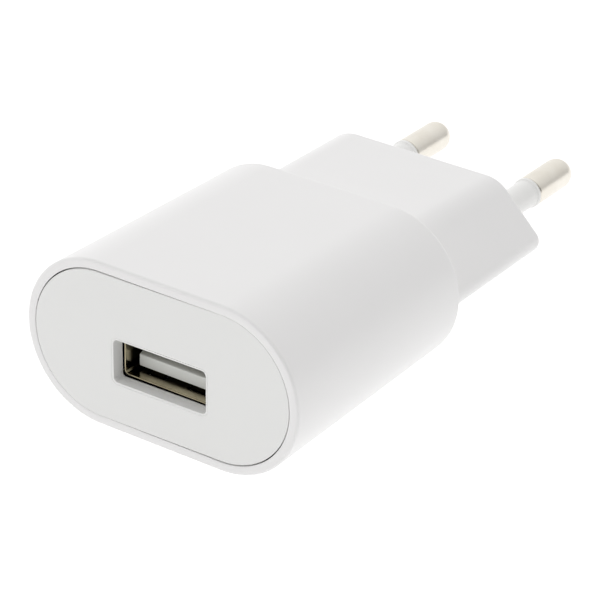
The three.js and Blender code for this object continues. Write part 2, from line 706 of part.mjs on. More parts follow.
// Axial component lying under the board, with both leads bent up.
function makeAxial(start, length, radius, alongX) {
  const [x, y] = start;
  const z = boardBottom - COMPONENT_GAP - radius;
  const reach = 1.0;
  const leadRadius = 0.28;
  const rod = alongX
    ? (r, a, b) => rodAlongX(r, x + a, x + b, y, z, 16)
    : (r, a, b) => rodAlongY(r, y + a, y + b, x, z, 16);
  const at = (along) => (alongX ? [x + along, y] : [x, y + along]);
  return join(
    rod(radius, 0, length),
    rod(leadRadius, -reach - leadRadius, length + reach + leadRadius),
    leadThroughBoard(...at(-reach), z, leadRadius),
    leadThroughBoard(...at(length + reach), z, leadRadius),
  );
}

place(
  'output_diode',
  makeAxial([SHELL_WIDTH / 2 + 1.55, boardFront + 9.6], 4.0, 1.35, true),
  epoxyBlack,
);
place('fusible_resistor', makeAxial([-5.4, BODY_LENGTH - 1.2], 7.4, 1.6, false), resistorGreen);

// Drum choke standing under the board.
function makeChoke(x, y) {
  const top = boardBottom - COMPONENT_GAP;
  const [flange, neck, height] = [3.0, 2.3, 5.0];
  const profile = [
    [0, 0], [flange, 0], [flange, 0.8], [neck, 1.1], [neck, height - 1.1],
    [flange, height - 0.8], [flange, height], [0, height],
  ].map(([distance, along]) => new THREE.Vector2(distance, along));
  const drum = new THREE.LatheGeometry(profile, 20).rotateX(Math.PI / 2).translate(x, y, top - height);
  return join(drum, ...[-1.8, 1.8].map((offset) => leadThroughBoard(x + offset, y, top - 0.5)));
}

place('filter_choke', makeChoke(6.6, BODY_LENGTH + 1.2), ferrite);

// Bridge rectifier: a chamfered block with four legs.
function makeBridge(x, y) {
  const top = boardBottom - COMPONENT_GAP;
  const [w, l, h] = [6.4, 4.8, 2.6];
  const block = extrudeAlongX([
    [y - l / 2, top], [y - l / 2, top - h * 0.6], [y - l / 2 + 0.7, top - h],
    [y + l / 2 - 0.7, top - h], [y + l / 2, top - h * 0.6], [y + l / 2, top],
  ], x - w / 2, x + w / 2);
  const legs = [-2.5, 2.5].flatMap((dx) => [-1.6, 1.6].map((dy) => (
    leadThroughBoard(x + dx, y + dy, top - 0.6, 0.25))));
  return join(block, ...legs);
}

place('bridge_rectifier', makeBridge(0, boardTongueEnd - 2.6), epoxyBlack);

// ---------------------------------------------------------------- transformer

const coreMiddle = transformerFront + CORE_LENGTH / 2;
const bobbinHalfHeight = CORE_THICKNESS / 2 + FIT + BOBBIN_WALL + WINDING_THICKNESS + 0.2;
const transformerZ = boardBottom - COMPONENT_GAP - bobbinHalfHeight;
const windowFront = transformerFront + CORE_LEG;
const windowRear = transformerFront + CORE_LENGTH - CORE_LEG;

// One E-shaped half: a spine, two outer legs and the middle post, which meet their twins.
function makeCoreHalf(end) {
  const meet = coreMiddle + end * 0.04;
  const outer = coreMiddle + end * (CORE_LENGTH / 2);
  const spine = outer - end * CORE_LEG;
  const half = CORE_THICKNESS / 2;
  const bar = (x0, x1, ya, yb) => box(
    x0, x1, Math.min(ya, yb), Math.max(ya, yb), transformerZ - half, transformerZ + half,
  );
  const w = CORE_WIDTH / 2;
  return join(
    bar(-w, w, spine, outer),
    bar(-w, -w + CORE_LEG, meet, outer),
    bar(w - CORE_LEG, w, meet, outer),
    bar(-CORE_POST / 2, CORE_POST / 2, meet, outer),
  );
}

const bobbinInner = { x: CORE_POST / 2 + FIT, z: CORE_THICKNESS / 2 + FIT };
const bobbinOuter = { x: bobbinInner.x + BOBBIN_WALL, z: bobbinInner.z + BOBBIN_WALL };
const windingOuter = { x: bobbinOuter.x + WINDING_THICKNESS, z: bobbinOuter.z + WINDING_THICKNESS };
const bobbinFront = windowFront + FIT;
const bobbinRear = windowRear - FIT;

const block = (size, y0, y1) => (
  box(-size.x, size.x, y0, y1, transformerZ - size.z, transformerZ + size.z));

function makeBobbin() {
  const flange = { x: windingOuter.x + 0.25, z: bobbinHalfHeight };
  const terminals = [bobbinFront, bobbinRear - BOBBIN_FLANGE].flatMap((y) => (
    [-3.2, 0, 3.2].map((x) => leadThroughBoard(x, y + BOBBIN_FLANGE / 2, transformerZ + 2.6, 0.25))));
  const tube = join(
    block(bobbinOuter, bobbinFront, bobbinRear),
    block(flange, bobbinFront, bobbinFront + BOBBIN_FLANGE),
    block(flange, bobbinRear - BOBBIN_FLANGE, bobbinRear),
    ...terminals,
  );
  return cut(tube, block(bobbinInner, bobbinFront - 1, bobbinRear + 1));
}

function makeWinding() {
  const [y0, y1] = [bobbinFront + BOBBIN_FLANGE + FIT, bobbinRear - BOBBIN_FLANGE - FIT];
  const corner = 0.8;
  const around = roundedRectangle(
    2 * windingOuter.x, 2 * windingOuter.z, corner, 0, transformerZ,
  );
  const clearOfTube = { x: bobbinOuter.x + FIT / 2, z: bobbinOuter.z + FIT / 2 };
  return cut(prism(around, y0, y1), block(clearOfTube, y0 - 1, y1 + 1));
}

place('transformer_core_front', makeCoreHalf(-1), ferrite);
place('transformer_core_rear', makeCoreHalf(1), ferrite);
place('transformer_bobbin', makeBobbin(), bobbinBlack);
place('transformer_winding', makeWinding(), tapeYellow);

// ---------------------------------------------------------------- surface-mounted parts

// Small moulded package on top of the board, with flat legs along its two long sides.
function makeChip(x, y, width, length, height, legsPerSide) {
  const z = boardTop + 0.15;
  const mid = z + height / 2;
  const body = extrudeAlongX([
    [y - width / 2 + 0.15, z], [y - width / 2, mid], [y - width / 2 + 0.2, z + height],
    [y + width / 2 - 0.2, z + height], [y + width / 2, mid], [y + width / 2 - 0.15, z],
  ], x - length / 2, x + length / 2);
  const pitch = length / legsPerSide;
  const legs = Array.from({ length: legsPerSide }, (_, i) => {
    const legX = x - length / 2 + pitch * (i + 0.5);
    const leg = (end) => stripProfile([
      [y + end * (width / 2 - 0.3), mid], [y + end * (width / 2 + 0.3), mid],
      [y + end * (width / 2 + 0.45), boardTop + 0.14], [y + end * (width / 2 + 0.9), boardTop + 0.14],
    ], 0.16);
    return [-1, 1].map((end) => extrudeAlongX(leg(end), legX - 0.2, legX + 0.2));
  }).flat();
  return join(body, ...legs);
}

place('controller_chip', makeChip(-6.0, transformerFront + 9.3, 3.9, 4.9, 1.5, 4), epoxyBlack);
place('optocoupler', makeChip(6.2, transformerFront + 3.5, 4.4, 4.6, 2.0, 2), epoxyBlack);
place('bias_diode', makeChip(5.8, transformerFront + 11.3, 2.6, 3.6, 1.4, 1), epoxyBlack);

// Chip resistors and capacitors: a block with raised end caps.
function makeChipPart(x, y, length, width, height) {
  const z = boardTop + 0.02;
  const cap = 0.4;
  return join(
    box(x - length / 2 + 0.1, x + length / 2 - 0.1, y - width / 2 + 0.05, y + width / 2 - 0.05,
      z + 0.05, z + height - 0.05),
    box(x - length / 2, x - length / 2 + cap, y - width / 2, y + width / 2, z, z + height),
    box(x + length / 2 - cap, x + length / 2, y - width / 2, y + width / 2, z, z + height),
  );
}

const chipParts = [
  ['sense_resistor', -11.0, inputCapacitorFront + 7.1, 3.2, 1.6, 0.6],
  ['startup_resistor', -11.0, inputCapacitorFront + 10.5, 3.2, 1.6, 0.6],
  ['snubber_resistor', 11.2, inputCapacitorFront + 9.9, 3.2, 1.6, 0.6],
  ['snubber_capacitor', 11.2, inputCapacitorFront + 6.7, 3.2, 1.6, 1.2],
  ['feedback_resistor', 0.4, tailRear + 1.85, 2.0, 1.25, 0.5],
  ['output_ceramic_capacitor', -4.2, tailRear - 1.75, 3.2, 1.6, 1.2],
];
for (const [name, ...size] of chipParts) {
  place(name, makeChipPart(...size), chipTan);
}

// ---------------------------------------------------------------- circuit board and barrier

function makeBoard() {
  const half = boardWidth / 2;
  const tongue = BOARD_TONGUE_WIDTH / 2;
  const outline = new THREE.Shape([
    [-half, boardFront], [half, boardFront], [half, boardShoulder], [tongue, boardShoulder],
    [tongue, boardTongueEnd], [-tongue, boardTongueEnd], [-tongue, boardShoulder],
    [-half, boardShoulder],
  ].map(([x, y]) => new THREE.Vector2(x, y)));
  const sheet = new THREE.ExtrudeGeometry(outline, { depth: BOARD_THICKNESS, bevelEnabled: false })
    .translate(0, 0, boardBottom);
  const [below, above] = [boardBottom - 1, boardTop + 1];
  const holes = boardHoles.map(({ x, y, radius }) => rodAlongZ(radius, below, above, x, y));
  const legSlots = shellLegs.flatMap((y) => sides.map(([, side]) => {
    const middle = side * (SHELL_WIDTH - SHELL_SHEET) / 2;
    const reach = SHELL_SHEET / 2 + HOLE_GAP;
    return box(middle - reach, middle + reach, y - HOLE_GAP, y + 1.6 + HOLE_GAP, below, above);
  }));
  const tailSlots = CONTACT_PLACES.map((x) => box(
    x - CONTACT_WIDTH / 3 - HOLE_GAP, x + CONTACT_WIDTH / 3 + HOLE_GAP,
    tailRear - CONTACT_SHEET / 2 - HOLE_GAP, tailRear + CONTACT_SHEET / 2 + HOLE_GAP, below, above,
  ));
  return cut(sheet, ...holes, ...legSlots, ...tailSlots);
}

place('circuit_board', makeBoard(), boardGreen);

// Insulating sheet between the socket and the transformer.
function makeBarrier() {
  const y = transformerFront - 0.7;
  const thickness = 0.3;
  const sheet = prism(bodySection(y + thickness, BODY_WALL + 2 * FIT), y, y + thickness);
  const below = box(
    -FACE_WIDTH, FACE_WIDTH, y - 1, y + 1 + thickness,
    -FACE_HEIGHT, boardBottom - FIT - RAIL_THICKNESS - FIT,
  );
  return common(sheet, below);
}

place('insulation_barrier', makeBarrier(), sheetGrey);

export default charger;
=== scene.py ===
"""USB wall charger: the finished outside, its pins and its port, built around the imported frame."""

import math

import bmesh
import bpy
from bpy.props import FloatProperty, FloatVectorProperty, PointerProperty
from mathutils import Matrix, Vector


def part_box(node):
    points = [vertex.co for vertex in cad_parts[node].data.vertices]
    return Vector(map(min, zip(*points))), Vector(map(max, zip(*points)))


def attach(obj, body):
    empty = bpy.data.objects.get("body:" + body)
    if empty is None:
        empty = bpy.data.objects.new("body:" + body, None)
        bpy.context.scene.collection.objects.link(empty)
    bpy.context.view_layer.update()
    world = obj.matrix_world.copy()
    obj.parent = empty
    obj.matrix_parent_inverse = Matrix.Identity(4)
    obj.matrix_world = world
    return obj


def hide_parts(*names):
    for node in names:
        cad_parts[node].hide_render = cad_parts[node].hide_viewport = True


bl_info = {
    "name": "USB Wall Charger",
    "version": (1, 0, 0),
    "blender": (4, 5, 0),
    "location": "View3D > Sidebar > Charger",
    "description": "Builds a USB wall charger, its pins and its port around a packed frame",
    "category": "Add Mesh",
}

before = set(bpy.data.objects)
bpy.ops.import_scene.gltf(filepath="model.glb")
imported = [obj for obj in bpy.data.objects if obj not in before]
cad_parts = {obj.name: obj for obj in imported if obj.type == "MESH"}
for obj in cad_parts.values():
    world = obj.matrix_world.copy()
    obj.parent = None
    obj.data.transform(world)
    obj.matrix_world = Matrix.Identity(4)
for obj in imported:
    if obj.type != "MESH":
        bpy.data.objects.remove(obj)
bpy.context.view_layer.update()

MM = 0.001
LOW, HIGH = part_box("housing")
FACE = LOW.y  # the plane of the USB face
AXIS = (LOW.z + HIGH.z) / 2  # height of the body's axis
FACE_WIDTH = HIGH.x - LOW.x
FACE_HEIGHT = HIGH.z - LOW.z
NECK_END = HIGH.y - FACE
MAIN_BODY = "charger_body"
SHARP = 38.0  # degrees: a steeper edge is shaded as sharp
BEYOND = 1.0 * MM  # how far a cutter runs on past what it cuts
FLOOR_REACH = 3.0  # from the middle of the floor to its edges
LEAST_ROUND = 0.3 * MM  # least radius of the neck's inner edges
SIDES = {"left": -1, "right": 1}
WALLS = {"lower": -1, "upper": 1}


# ------------------------------------------------------------------ settings

def length(name, description, mm):
    return FloatProperty(
        name=name, description=description, default=mm * MM, min=0.0, unit="LENGTH",
        subtype="DISTANCE", precision=5,
    )


def angle(name, description, degrees):
    return FloatProperty(
        name=name, description=description, default=math.radians(degrees), unit="ROTATION",
        subtype="ANGLE",
    )


def colour(name, description, value):
    return FloatVectorProperty(
        name=name, description=description, default=value, size=3, min=0.0, max=1.0,
        subtype="COLOR",
    )


def share(name, description, value, most=1.0):
    return FloatProperty(
        name=name, description=description, default=value, min=0.0, max=most, subtype="FACTOR",
    )


class ChargerHousingSettings(bpy.types.PropertyGroup):
    body_length: length("Body length", "From the USB face to the rear of the body", 34.0)
    side_draft: length("Side draft", "How much each side draws in towards the rear", 0.55)
    top_draft: length("Top draft", "How much top and bottom draw in towards the rear", 0.77)
    wall: length("Wall", "Thickness of the body's walls", 1.9)
    rim_width: length("Rim width", "Width of the rim around the face plate", 1.2)
    rim_round: length("Rim rounding", "Radius of the rim's outer edge", 0.36)
    groove_place: length("Groove place", "From the rim's inner edge to its fine groove", 0.9)
    groove_width: length("Groove width", "Half width of the fine groove", 0.06)
    groove_depth: length("Groove depth", "Depth of the fine groove along the straight edges", 0.03)
    rear_round: length("Rear rounding", "Radius of the body's rear edge", 0.6)
    recess: length("Recess", "Depth of the recess that takes the face plate", 1.7)
    neck_width: length("Neck width", "Width of the plug neck at its end", 35.6)
    neck_height: length("Neck height", "Height of the plug neck at its end", 13.8)
    neck_side_draft: length("Neck side draft", "Growth of each side towards the body", 0.2)
    neck_top_draft: length("Neck top draft", "Growth of top and bottom towards the body", 0.6)
    neck_drop: length("Neck drop", "How far the neck's axis lies below the body's", 0.25)
    neck_wall: length("Neck wall", "Thickness of the neck's walls", 1.8)
    neck_end_wall: length("Neck end wall", "Thickness of the wall that holds the pins", 2.8)
    neck_slant: angle("Neck slant", "Slope of the neck's four slanted faces", 45.0)
    neck_top_round: length("Neck top rounding", "Radius between flat and slanted faces", 4.4)
    neck_side_round: length("Neck side rounding", "Radius of the two side edges", 1.5)
    neck_end_round: length("Neck end rounding", "Radius of the end's edge", 0.9)
    pin_gap: length("Pin gap", "Gap around the sleeves and the pins' flanges", 0.1)
    pocket_depth: length("Pocket depth", "Depth of the pocket that takes a pin's flange", 1.1)
    rail_height: length("Rail height", "Height of the rails that hold the board", 0.9)
    rail_overlap: length("Rail overlap", "How far a rail reaches over the board's edge", 0.9)
    rail_root: length("Rail root", "How far a rail reaches into the wall beside the board", 0.75)
    rail_gap: length("Rail gap", "Gap between a rail and the board", 0.1)
    rail_setback: length("Rail setback", "From the rails' end to the rear wall", 0.3)


class ChargerPlateSettings(bpy.types.PropertyGroup):
    thickness: length("Thickness", "Thickness of the face plate", 1.6)
    seam: length("Seam", "Gap between the plate and the rim", 0.085)
    seat_turn: angle("Seat turn", "How far the plate sits turned in its recess", 0.55)
    edge: length("Edge", "Rounding of the plate's outer edge", 0.07)
    skirt: length("Skirt", "Length of the skirt that holds the plate in the body", 2.4)
    skirt_wall: length("Skirt wall", "Thickness of the skirt", 1.1)
    skirt_gap: length("Skirt gap", "Gap between the skirt and the body's wall", 0.1)
    port_height: FloatProperty(
        name="Port height", description="Centre of the port above the body's axis",
        default=-1.34 * MM, unit="LENGTH", subtype="DISTANCE", precision=5,
    )
    port_gap: length("Port gap", "Gap between the plate and the socket's shell", 0.15)
    port_corner: length("Port corner", "Corner radius of the port's opening", 0.6)
    port_lip: length("Port lip", "Rounding of the port's front edge", 0.06)
    port_squeeze: length("Port squeeze", "How much the port narrows towards the shell", 0.07)
    bead_place: length("Bead place", "From the port's edge to the fine line around it", 0.26)
    bead_width: length("Bead width", "Width of the fine line around the port", 0.14)
    bead_depth: length("Bead depth", "Depth of the fine line around the port", 0.05)


class ChargerPinSettings(bpy.types.PropertyGroup):
    diameter: length("Diameter", "Diameter of the pin's metal end", 4.0)
    shank: length("Shank diameter", "Diameter of the pin inside its sleeve", 2.9)
    sleeve: length("Sleeve diameter", "Outer diameter of the sleeve", 3.64)
    collar_length: length("Collar length", "Length of the thicker end of the sleeve", 0.45)
    ramp: length("Collar ramp", "Length of the slope up to the collar", 0.15)
    sleeve_gap: length("Sleeve gap", "Gap between the sleeve's bore and the shank", 0.05)
    sleeve_round: length("Sleeve rounding", "Softening of the sleeve's edges", 0.1)
    flange: length("Flange diameter", "Collar that stops the pin in the neck", 5.6)
    flange_height: length("Flange thickness", "Thickness of that collar", 1.0)
    stub: length("Stub", "Length of pin from the flange to its soldered end", 3.2)
    stub_chamfer: length("Stub chamfer", "Chamfer of the soldered end", 0.15)
    shoulder: length("Shoulder", "Rounding where the metal meets the sleeve", 0.18)
    shoulder_gap: length("Shoulder gap", "Gap between the sleeve and the shoulder", 0.1)


class ChargerSocketSettings(bpy.types.PropertyGroup):
    sheet: length("Sheet", "Thickness of the shell's sheet metal", 0.25)
    corner: length("Corner", "Outer corner radius of the shell", 0.7)
    mouth_round: length("Mouth rounding", "Rounding of the shell's front edge", 0.12)
    # Painted shade: how far behind the mouth the shell's painted shade reaches its darkest
    painted_shade_depth: length("Bright depth", "From the mouth to where the painted shade inside is darkest", 1.5)
    window_gap: length("Window gap", "Gap beside and before a catch spring", 0.3)
    leg_width: length("Leg width", "Width of the shell's four legs", 1.6)
    leg_round: length("Leg rounding", "Rounding of the legs' edges", 0.03)
    first_leg: length("First leg", "From the mouth to the front pair of legs", 5.6)
    second_leg: length("Second leg", "From the mouth to the rear pair of legs", 9.4)
    block_length: length("Block length", "Length of the plastic block behind the tongue", 3.0)
    block_corner: length("Block corner", "Corner radius of that block", 0.45)
    tongue_height: length("Tongue height", "Thickness of the tongue", 1.84)
    tongue_rise: length("Tongue rise", "From the shell's underside to the tongue", 0.7)
    tongue_side: length("Tongue side", "From the shell's outside to the tongue's side", 0.9)
    tongue_corner: length("Tongue corner", "Corner radius of the tongue", 0.12)
    tongue_edge: length("Tongue edge", "Rounding of the tongue's front edges", 0.08)
    tongue_slope: length("Tongue slope", "Height of the slope above the tongue's front", 0.36)
    tongue_run: length("Tongue run", "Depth of the slope above the tongue's front", 0.8)
    slot_gap: length("Slot gap", "Gap on each side of a contact", 0.12)
    slot_setback: length("Slot setback", "From the tongue's front to its contact slots", 0.9)
    slot_depth: length("Slot depth", "Depth of the contact slots", 1.15)
    tail_depth: length("Tail depth", "From the tongue's top to the middle of a tail's slot", 0.17)
    tail_slot: length("Tail slot", "Height of a tail's slot in the block", 0.46)


class ChargerColourSettings(bpy.types.PropertyGroup):
    housing: colour("Housing", "White polycarbonate of body and neck", (0.88, 0.872, 0.868))
    plate: colour("Face plate", "White plastic of the face plate", (0.845, 0.845, 0.832))
    sleeve: colour("Sleeves", "Insulating sleeves of the pins", (0.87, 0.865, 0.85))
    nickel: colour("Pins", "Nickel plating of the pins", (0.83, 0.795, 0.725))
    shell: colour("Socket shell", "Nickel-plated sheet of the socket", (0.66, 0.585, 0.41))
    # Painted shade: near-black colour painted on the sheet deep in the socket, where shade falls
    shell_painted_shade: colour("Inside of the shell", "Painted shade on the sheet deep in the socket", (0.07, 0.058, 0.032))
    tongue: colour("Tongue", "Light grey plastic inside the port", (0.93, 0.945, 0.91))
    contact: colour("Contacts", "Gold-flashed springs", (0.78, 0.6, 0.3))
    grain: share("Grain", "Strength of the moulded surface's fine grain", 0.5)


class ChargerStageSettings(bpy.types.PropertyGroup):
    place: FloatVectorProperty(
        name="Camera place", description="Where the camera stands", size=3,
        default=(0.181748, -0.271373, 0.176933), unit="LENGTH", subtype="TRANSLATION",
    )
    turn: angle("Camera turn", "Turn of the view about the vertical", 34.717)
    tilt: angle("Camera tilt", "How far the camera looks down", 27.967)
    roll: angle("Camera roll", "Turn of the view about its own axis", 1.288)
    lens: FloatProperty(
        name="Lens", description="Focal length in millimetres", default=180.009, min=10.0,
    )
    sky: share("Sky", "Brightness of the light from above", 1.12, 4.0)
    side_shade: share("Side shade", "How dark it is low down on the right", 1.06, 4.0)
    low_shade: share("Low shade", "How much darker it is low down all round", 0.1, 4.0)
    front_shade: share("Front shade", "How dark it is low down in front", 0.43, 4.0)
    back_shade: share("Back shade", "How dark it is behind on the right", 0.28, 4.0)
    floor_glow: share("Floor glow", "Light that the pale floor gives by itself", 0.86, 4.0)


# ------------------------------------------------------------------ outlines

def arc_points(centre, radius, start, sweep, steps):
    return [
        (
            centre[0] + radius * math.cos(start + sweep * k / steps),
            centre[1] + radius * math.sin(start + sweep * k / steps),
        )
        for k in range(steps + 1)
    ]


def stadium(width, height, steps=56):
    """Two half circles joined by straight lines, anticlockwise seen from the front."""
    radius = height / 2
    reach = width / 2 - radius
    right = arc_points((reach, 0), radius, -math.pi / 2, math.pi, steps)
    left = arc_points((-reach, 0), radius, math.pi / 2, math.pi, steps)
    across = [k / 8 for k in range(1, 8)]
    top = [(reach - 2 * reach * k, radius) for k in across]
    bottom = [(-reach + 2 * reach * k, -radius) for k in across]
    return right + top + left + bottom


def rounded_outline(corners, radii, steps):
    """Corners joined by straight lines, each corner rounded with its own radius."""
    points = []
    for i, (corner, radius) in enumerate(zip(corners, radii)):
        corner = Vector(corner)
        before = (Vector(corners[i - 1]) - corner).normalized()
        after = (Vector(corners[(i + 1) % len(corners)]) - corner).normalized()
        half = before.angle(after) / 2
        centre = corner + (before + after).normalized() * (radius / math.sin(half))
        first = corner + before * (radius / math.tan(half)) - centre
        start = math.atan2(first.y, first.x)
        points += arc_points(centre, radius, start, math.pi - 2 * half, steps)
    return points


def rounded_rectangle(width, height, radius, z=0.0, steps=8):
    x, top, bottom = width / 2, z + height / 2, z - height / 2
    corners = [(x, bottom), (x, top), (-x, top), (-x, bottom)]
    return rounded_outline(corners, [radius] * 4, steps)


def circle(radius, x, z, steps=64):
    return arc_points((x, z), radius, 0.0, math.tau * (steps - 1) / steps, steps - 1)


def quarter_round(radius, steps):
    """(depth, inset) pairs from an end face to the full outline."""
    turns = [math.pi / 2 * k / steps for k in range(steps + 1)]
    return [(radius * (1 - math.cos(t)), radius * (1 - math.sin(t))) for t in turns]


# ------------------------------------------------------------------ mesh making

class Skin:
    """Collects rings of points, joins them into a closed surface and makes the piece."""

    def __init__(self):
        self.bm = bmesh.new()

    def ring(self, outline, y):
        return [self.bm.verts.new((x, FACE + y, AXIS + z)) for x, z in outline]

    def uneven_ring(self, outline, depths):
        return [self.bm.verts.new((x, FACE + y, AXIS + z)) for (x, z), y in zip(outline, depths)]

    def join(self, *rings):
        for one, two in zip(rings, rings[1:]):
            for i in range(len(one)):
                k = (i + 1) % len(one)
                self.bm.faces.new((one[i], two[i], two[k], one[k]))

    def cap(self, *rings):
        """Flat face with the first ring as its edge and the others as its holes."""
        edges = []
        for ring in rings:
            for i, vert in enumerate(ring):
                pair = (vert, ring[(i + 1) % len(ring)])
                edges.append(self.bm.edges.get(pair) or self.bm.edges.new(pair))
        bmesh.ops.triangle_fill(self.bm, use_beauty=True, use_dissolve=False, edges=edges)

    def point(self, ring, x, y, z):
        tip = self.bm.verts.new((x, FACE + y, AXIS + z))
        for i, vert in enumerate(ring):
            self.bm.faces.new((vert, tip, ring[(i + 1) % len(ring)]))

    def block(self, x0, x1, y0, y1, z0, z1):
        outline = [(x0, z0), (x1, z0), (x1, z1), (x0, z1)]
        front, back = self.ring(outline, y0), self.ring(outline, y1)
        self.join(front, back)
        self.bm.faces.new(front)
        self.bm.faces.new(back)

    def piece(self, name, material, sharp=SHARP):
        bmesh.ops.recalc_face_normals(self.bm, faces=self.bm.faces)
        mesh = bpy.data.meshes.new(name)
        self.bm.to_mesh(mesh)
        self.bm.free()
        return finish_piece(name, mesh, material, sharp)


def even_shading(piece, weight):
    weighted = piece.modifiers.new("Even shading", "WEIGHTED_NORMAL")
    weighted.keep_sharp = True
    weighted.weight = weight


def finish_piece(name, mesh, material, sharp):
    mesh.shade_smooth()
    mesh.set_sharp_from_angle(angle=math.radians(sharp))
    piece = bpy.data.objects.new(name, mesh)
    bpy.context.scene.collection.objects.link(piece)
    piece.data.materials.append(material)
    even_shading(piece, 90)
    return piece


def place(piece, node, slot):
    """The piece stands for one CAD node and moves with the main body."""
    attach(piece, MAIN_BODY)
    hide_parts(node)


def turned(profile, x, z, steps=64):
    """Skin turned about a pin's axis from (radius, y) pairs, closed where the radius is 0."""
    skin = Skin()
    rings = [
        skin.ring(circle(radius, x, z, steps), y) for radius, y in profile if radius > 0
    ]
    skin.join(*rings)
    if profile[0][0] == 0:
        skin.point(rings[0], x, profile[0][1], z)
    if profile[-1][0] == 0:
        skin.point(rings[-1], x, profile[-1][1], z)
    if profile[0] == profile[-1]:
        bmesh.ops.remove_doubles(skin.bm, verts=skin.bm.verts, dist=1e-7)
    return skin


def cut_away(piece, cutters):
    """Cuts the cutters' boxes out of the piece, then deletes them."""
    for cutter in cutters:
        modifier = piece.modifiers.new("Cut", "BOOLEAN")
        modifier.operation = "DIFFERENCE"
        modifier.solver = "EXACT"
        modifier.object = cutter
    for modifier in [m for m in piece.modifiers if m.type == "WEIGHTED_NORMAL"]:
        piece.modifiers.remove(modifier)
    bpy.context.view_layer.update()
    graph = bpy.context.evaluated_depsgraph_get()
    mesh = bpy.data.meshes.new_from_object(piece.evaluated_get(graph))
    piece.modifiers.clear()
    old, piece.data = piece.data, mesh
    bpy.data.meshes.remove(old)
    for cutter in cutters:
        bpy.data.objects.remove(cutter)
    mesh.set_sharp_from_angle(angle=math.radians(SHARP))
    even_shading(piece, 50)


def cutter_box(x0, x1, y0, y1, z0, z1):
    skin = Skin()
    skin.block(x0, x1, y0, y1, z0, z1)
    bmesh.ops.recalc_face_normals(skin.bm, faces=skin.bm.faces)
    mesh = bpy.data.meshes.new("cutter")
    skin.bm.to_mesh(mesh)
    skin.bm.free()
    cutter = bpy.data.objects.new("cutter", mesh)
    bpy.context.scene.collection.objects.link(cutter)
    return cutter


def round_edges(piece, width):
    """Rounds the piece's sharp edges before its shading is evened."""
    bevel = piece.modifiers.new("Edges", "BEVEL")
    bevel.width = width
    bevel.segments = 2
    bevel.limit_method = "ANGLE"
    bevel.angle_limit = math.radians(SHARP)
    bevel.harden_normals = False
    piece.modifiers.move(piece.modifiers.find(bevel.name), 0)


# ------------------------------------------------------------------ shader node groups

class Nodes:
    """Short ways to add and link nodes in one tree."""

    def __init__(self, tree):
        self.tree = tree

    def add(self, kind, values=None, **settings):
        node = self.tree.nodes.new(kind)
        for key, value in settings.items():
            setattr(node, key, value)
        for key, value in (values or {}).items():
            if isinstance(value, bpy.types.NodeSocket):
                self.tree.links.new(value, node.inputs[key])
            else:
                node.inputs[key].default_value = value
        return node

    def link(self, source, target):
        self.tree.links.new(source, target)

    def math(self, operation, first, second=0.0, third=0.0):
        node = self.add("ShaderNodeMath", {0: first, 1: second, 2: third}, operation=operation)
        return node.outputs[0]

    def remap(self, value, low, high, to_low, to_high):
        values = {
            "Value": value, "From Min": low, "From Max": high, "To Min": to_low, "To Max": to_high,
        }
        return self.add("ShaderNodeMapRange", values).outputs[0]

    def mix(self, factor, first, second, blend="MIX"):
        node = self.add("ShaderNodeMix", data_type="RGBA", blend_type=blend)
        for index, value in ((0, factor), (6, first), (7, second)):
            if isinstance(value, bpy.types.NodeSocket):
                self.tree.links.new(value, node.inputs[index])
            else:
                node.inputs[index].default_value = value
        return node.outputs[2]


def new_group(name, inputs, outputs):
    tree = bpy.data.node_groups.new(name, "ShaderNodeTree")
    for socket, kind, default in inputs:
        made = tree.interface.new_socket(name=socket, in_out="INPUT", socket_type=kind)
        made.default_value = default
    for socket, kind in outputs:
        tree.interface.new_socket(name=socket, in_out="OUTPUT", socket_type=kind)
    nodes = Nodes(tree)
    return nodes, nodes.add("NodeGroupInput").outputs, nodes.add("NodeGroupOutput").inputs


FLOAT, COLOUR, VECTOR = "NodeSocketFloat", "NodeSocketColor", "NodeSocketVector"


def moulded_surface():
    """Fine grain, faint flow variation and uneven gloss of a moulded plastic."""
    nodes, given, out = new_group(
        "Moulded surface",
        [("Colour", COLOUR, (0.8, 0.8, 0.8, 1)), ("Drift", FLOAT, 0.02), ("Grain size", FLOAT, 0.2),
         ("Roughness", FLOAT, 0.4), ("Roughness spread", FLOAT, 0.06)],
        [("Colour", COLOUR), ("Roughness", FLOAT), ("Height", FLOAT)],
    )
    position = nodes.add("ShaderNodeTexCoord").outputs["Object"]
    frequency = nodes.math("DIVIDE", 1000.0, given["Grain size"])
    fine = nodes.add(
        "ShaderNodeTexNoise", {"Vector": position, "Scale": frequency, "Detail": 2.0, "Roughness": 0.6}
    ).outputs[0]
    cloud = nodes.add(
        "ShaderNodeTexNoise", {"Vector": position, "Scale": 160.0, "Detail": 3.0, "Roughness": 0.5}
    ).outputs[0]
    shade = nodes.math("MULTIPLY_ADD", nodes.math("SUBTRACT", cloud, 0.5), given["Drift"], 1.0)
    grey = nodes.add("ShaderNodeCombineColor", {0: shade, 1: shade, 2: shade}).outputs[0]
    nodes.link(nodes.mix(1.0, given["Colour"], grey, "MULTIPLY"), out["Colour"])
    uneven = nodes.math("MULTIPLY", nodes.math("SUBTRACT", fine, 0.5), given["Roughness spread"])
    broad = nodes.math("MULTIPLY", nodes.math("SUBTRACT", cloud, 0.5), given["Roughness spread"])
    rough = nodes.math("ADD", given["Roughness"], nodes.math("ADD", uneven, broad))
    nodes.link(rough, out["Roughness"])
    nodes.link(fine, out["Height"])
    return nodes.tree


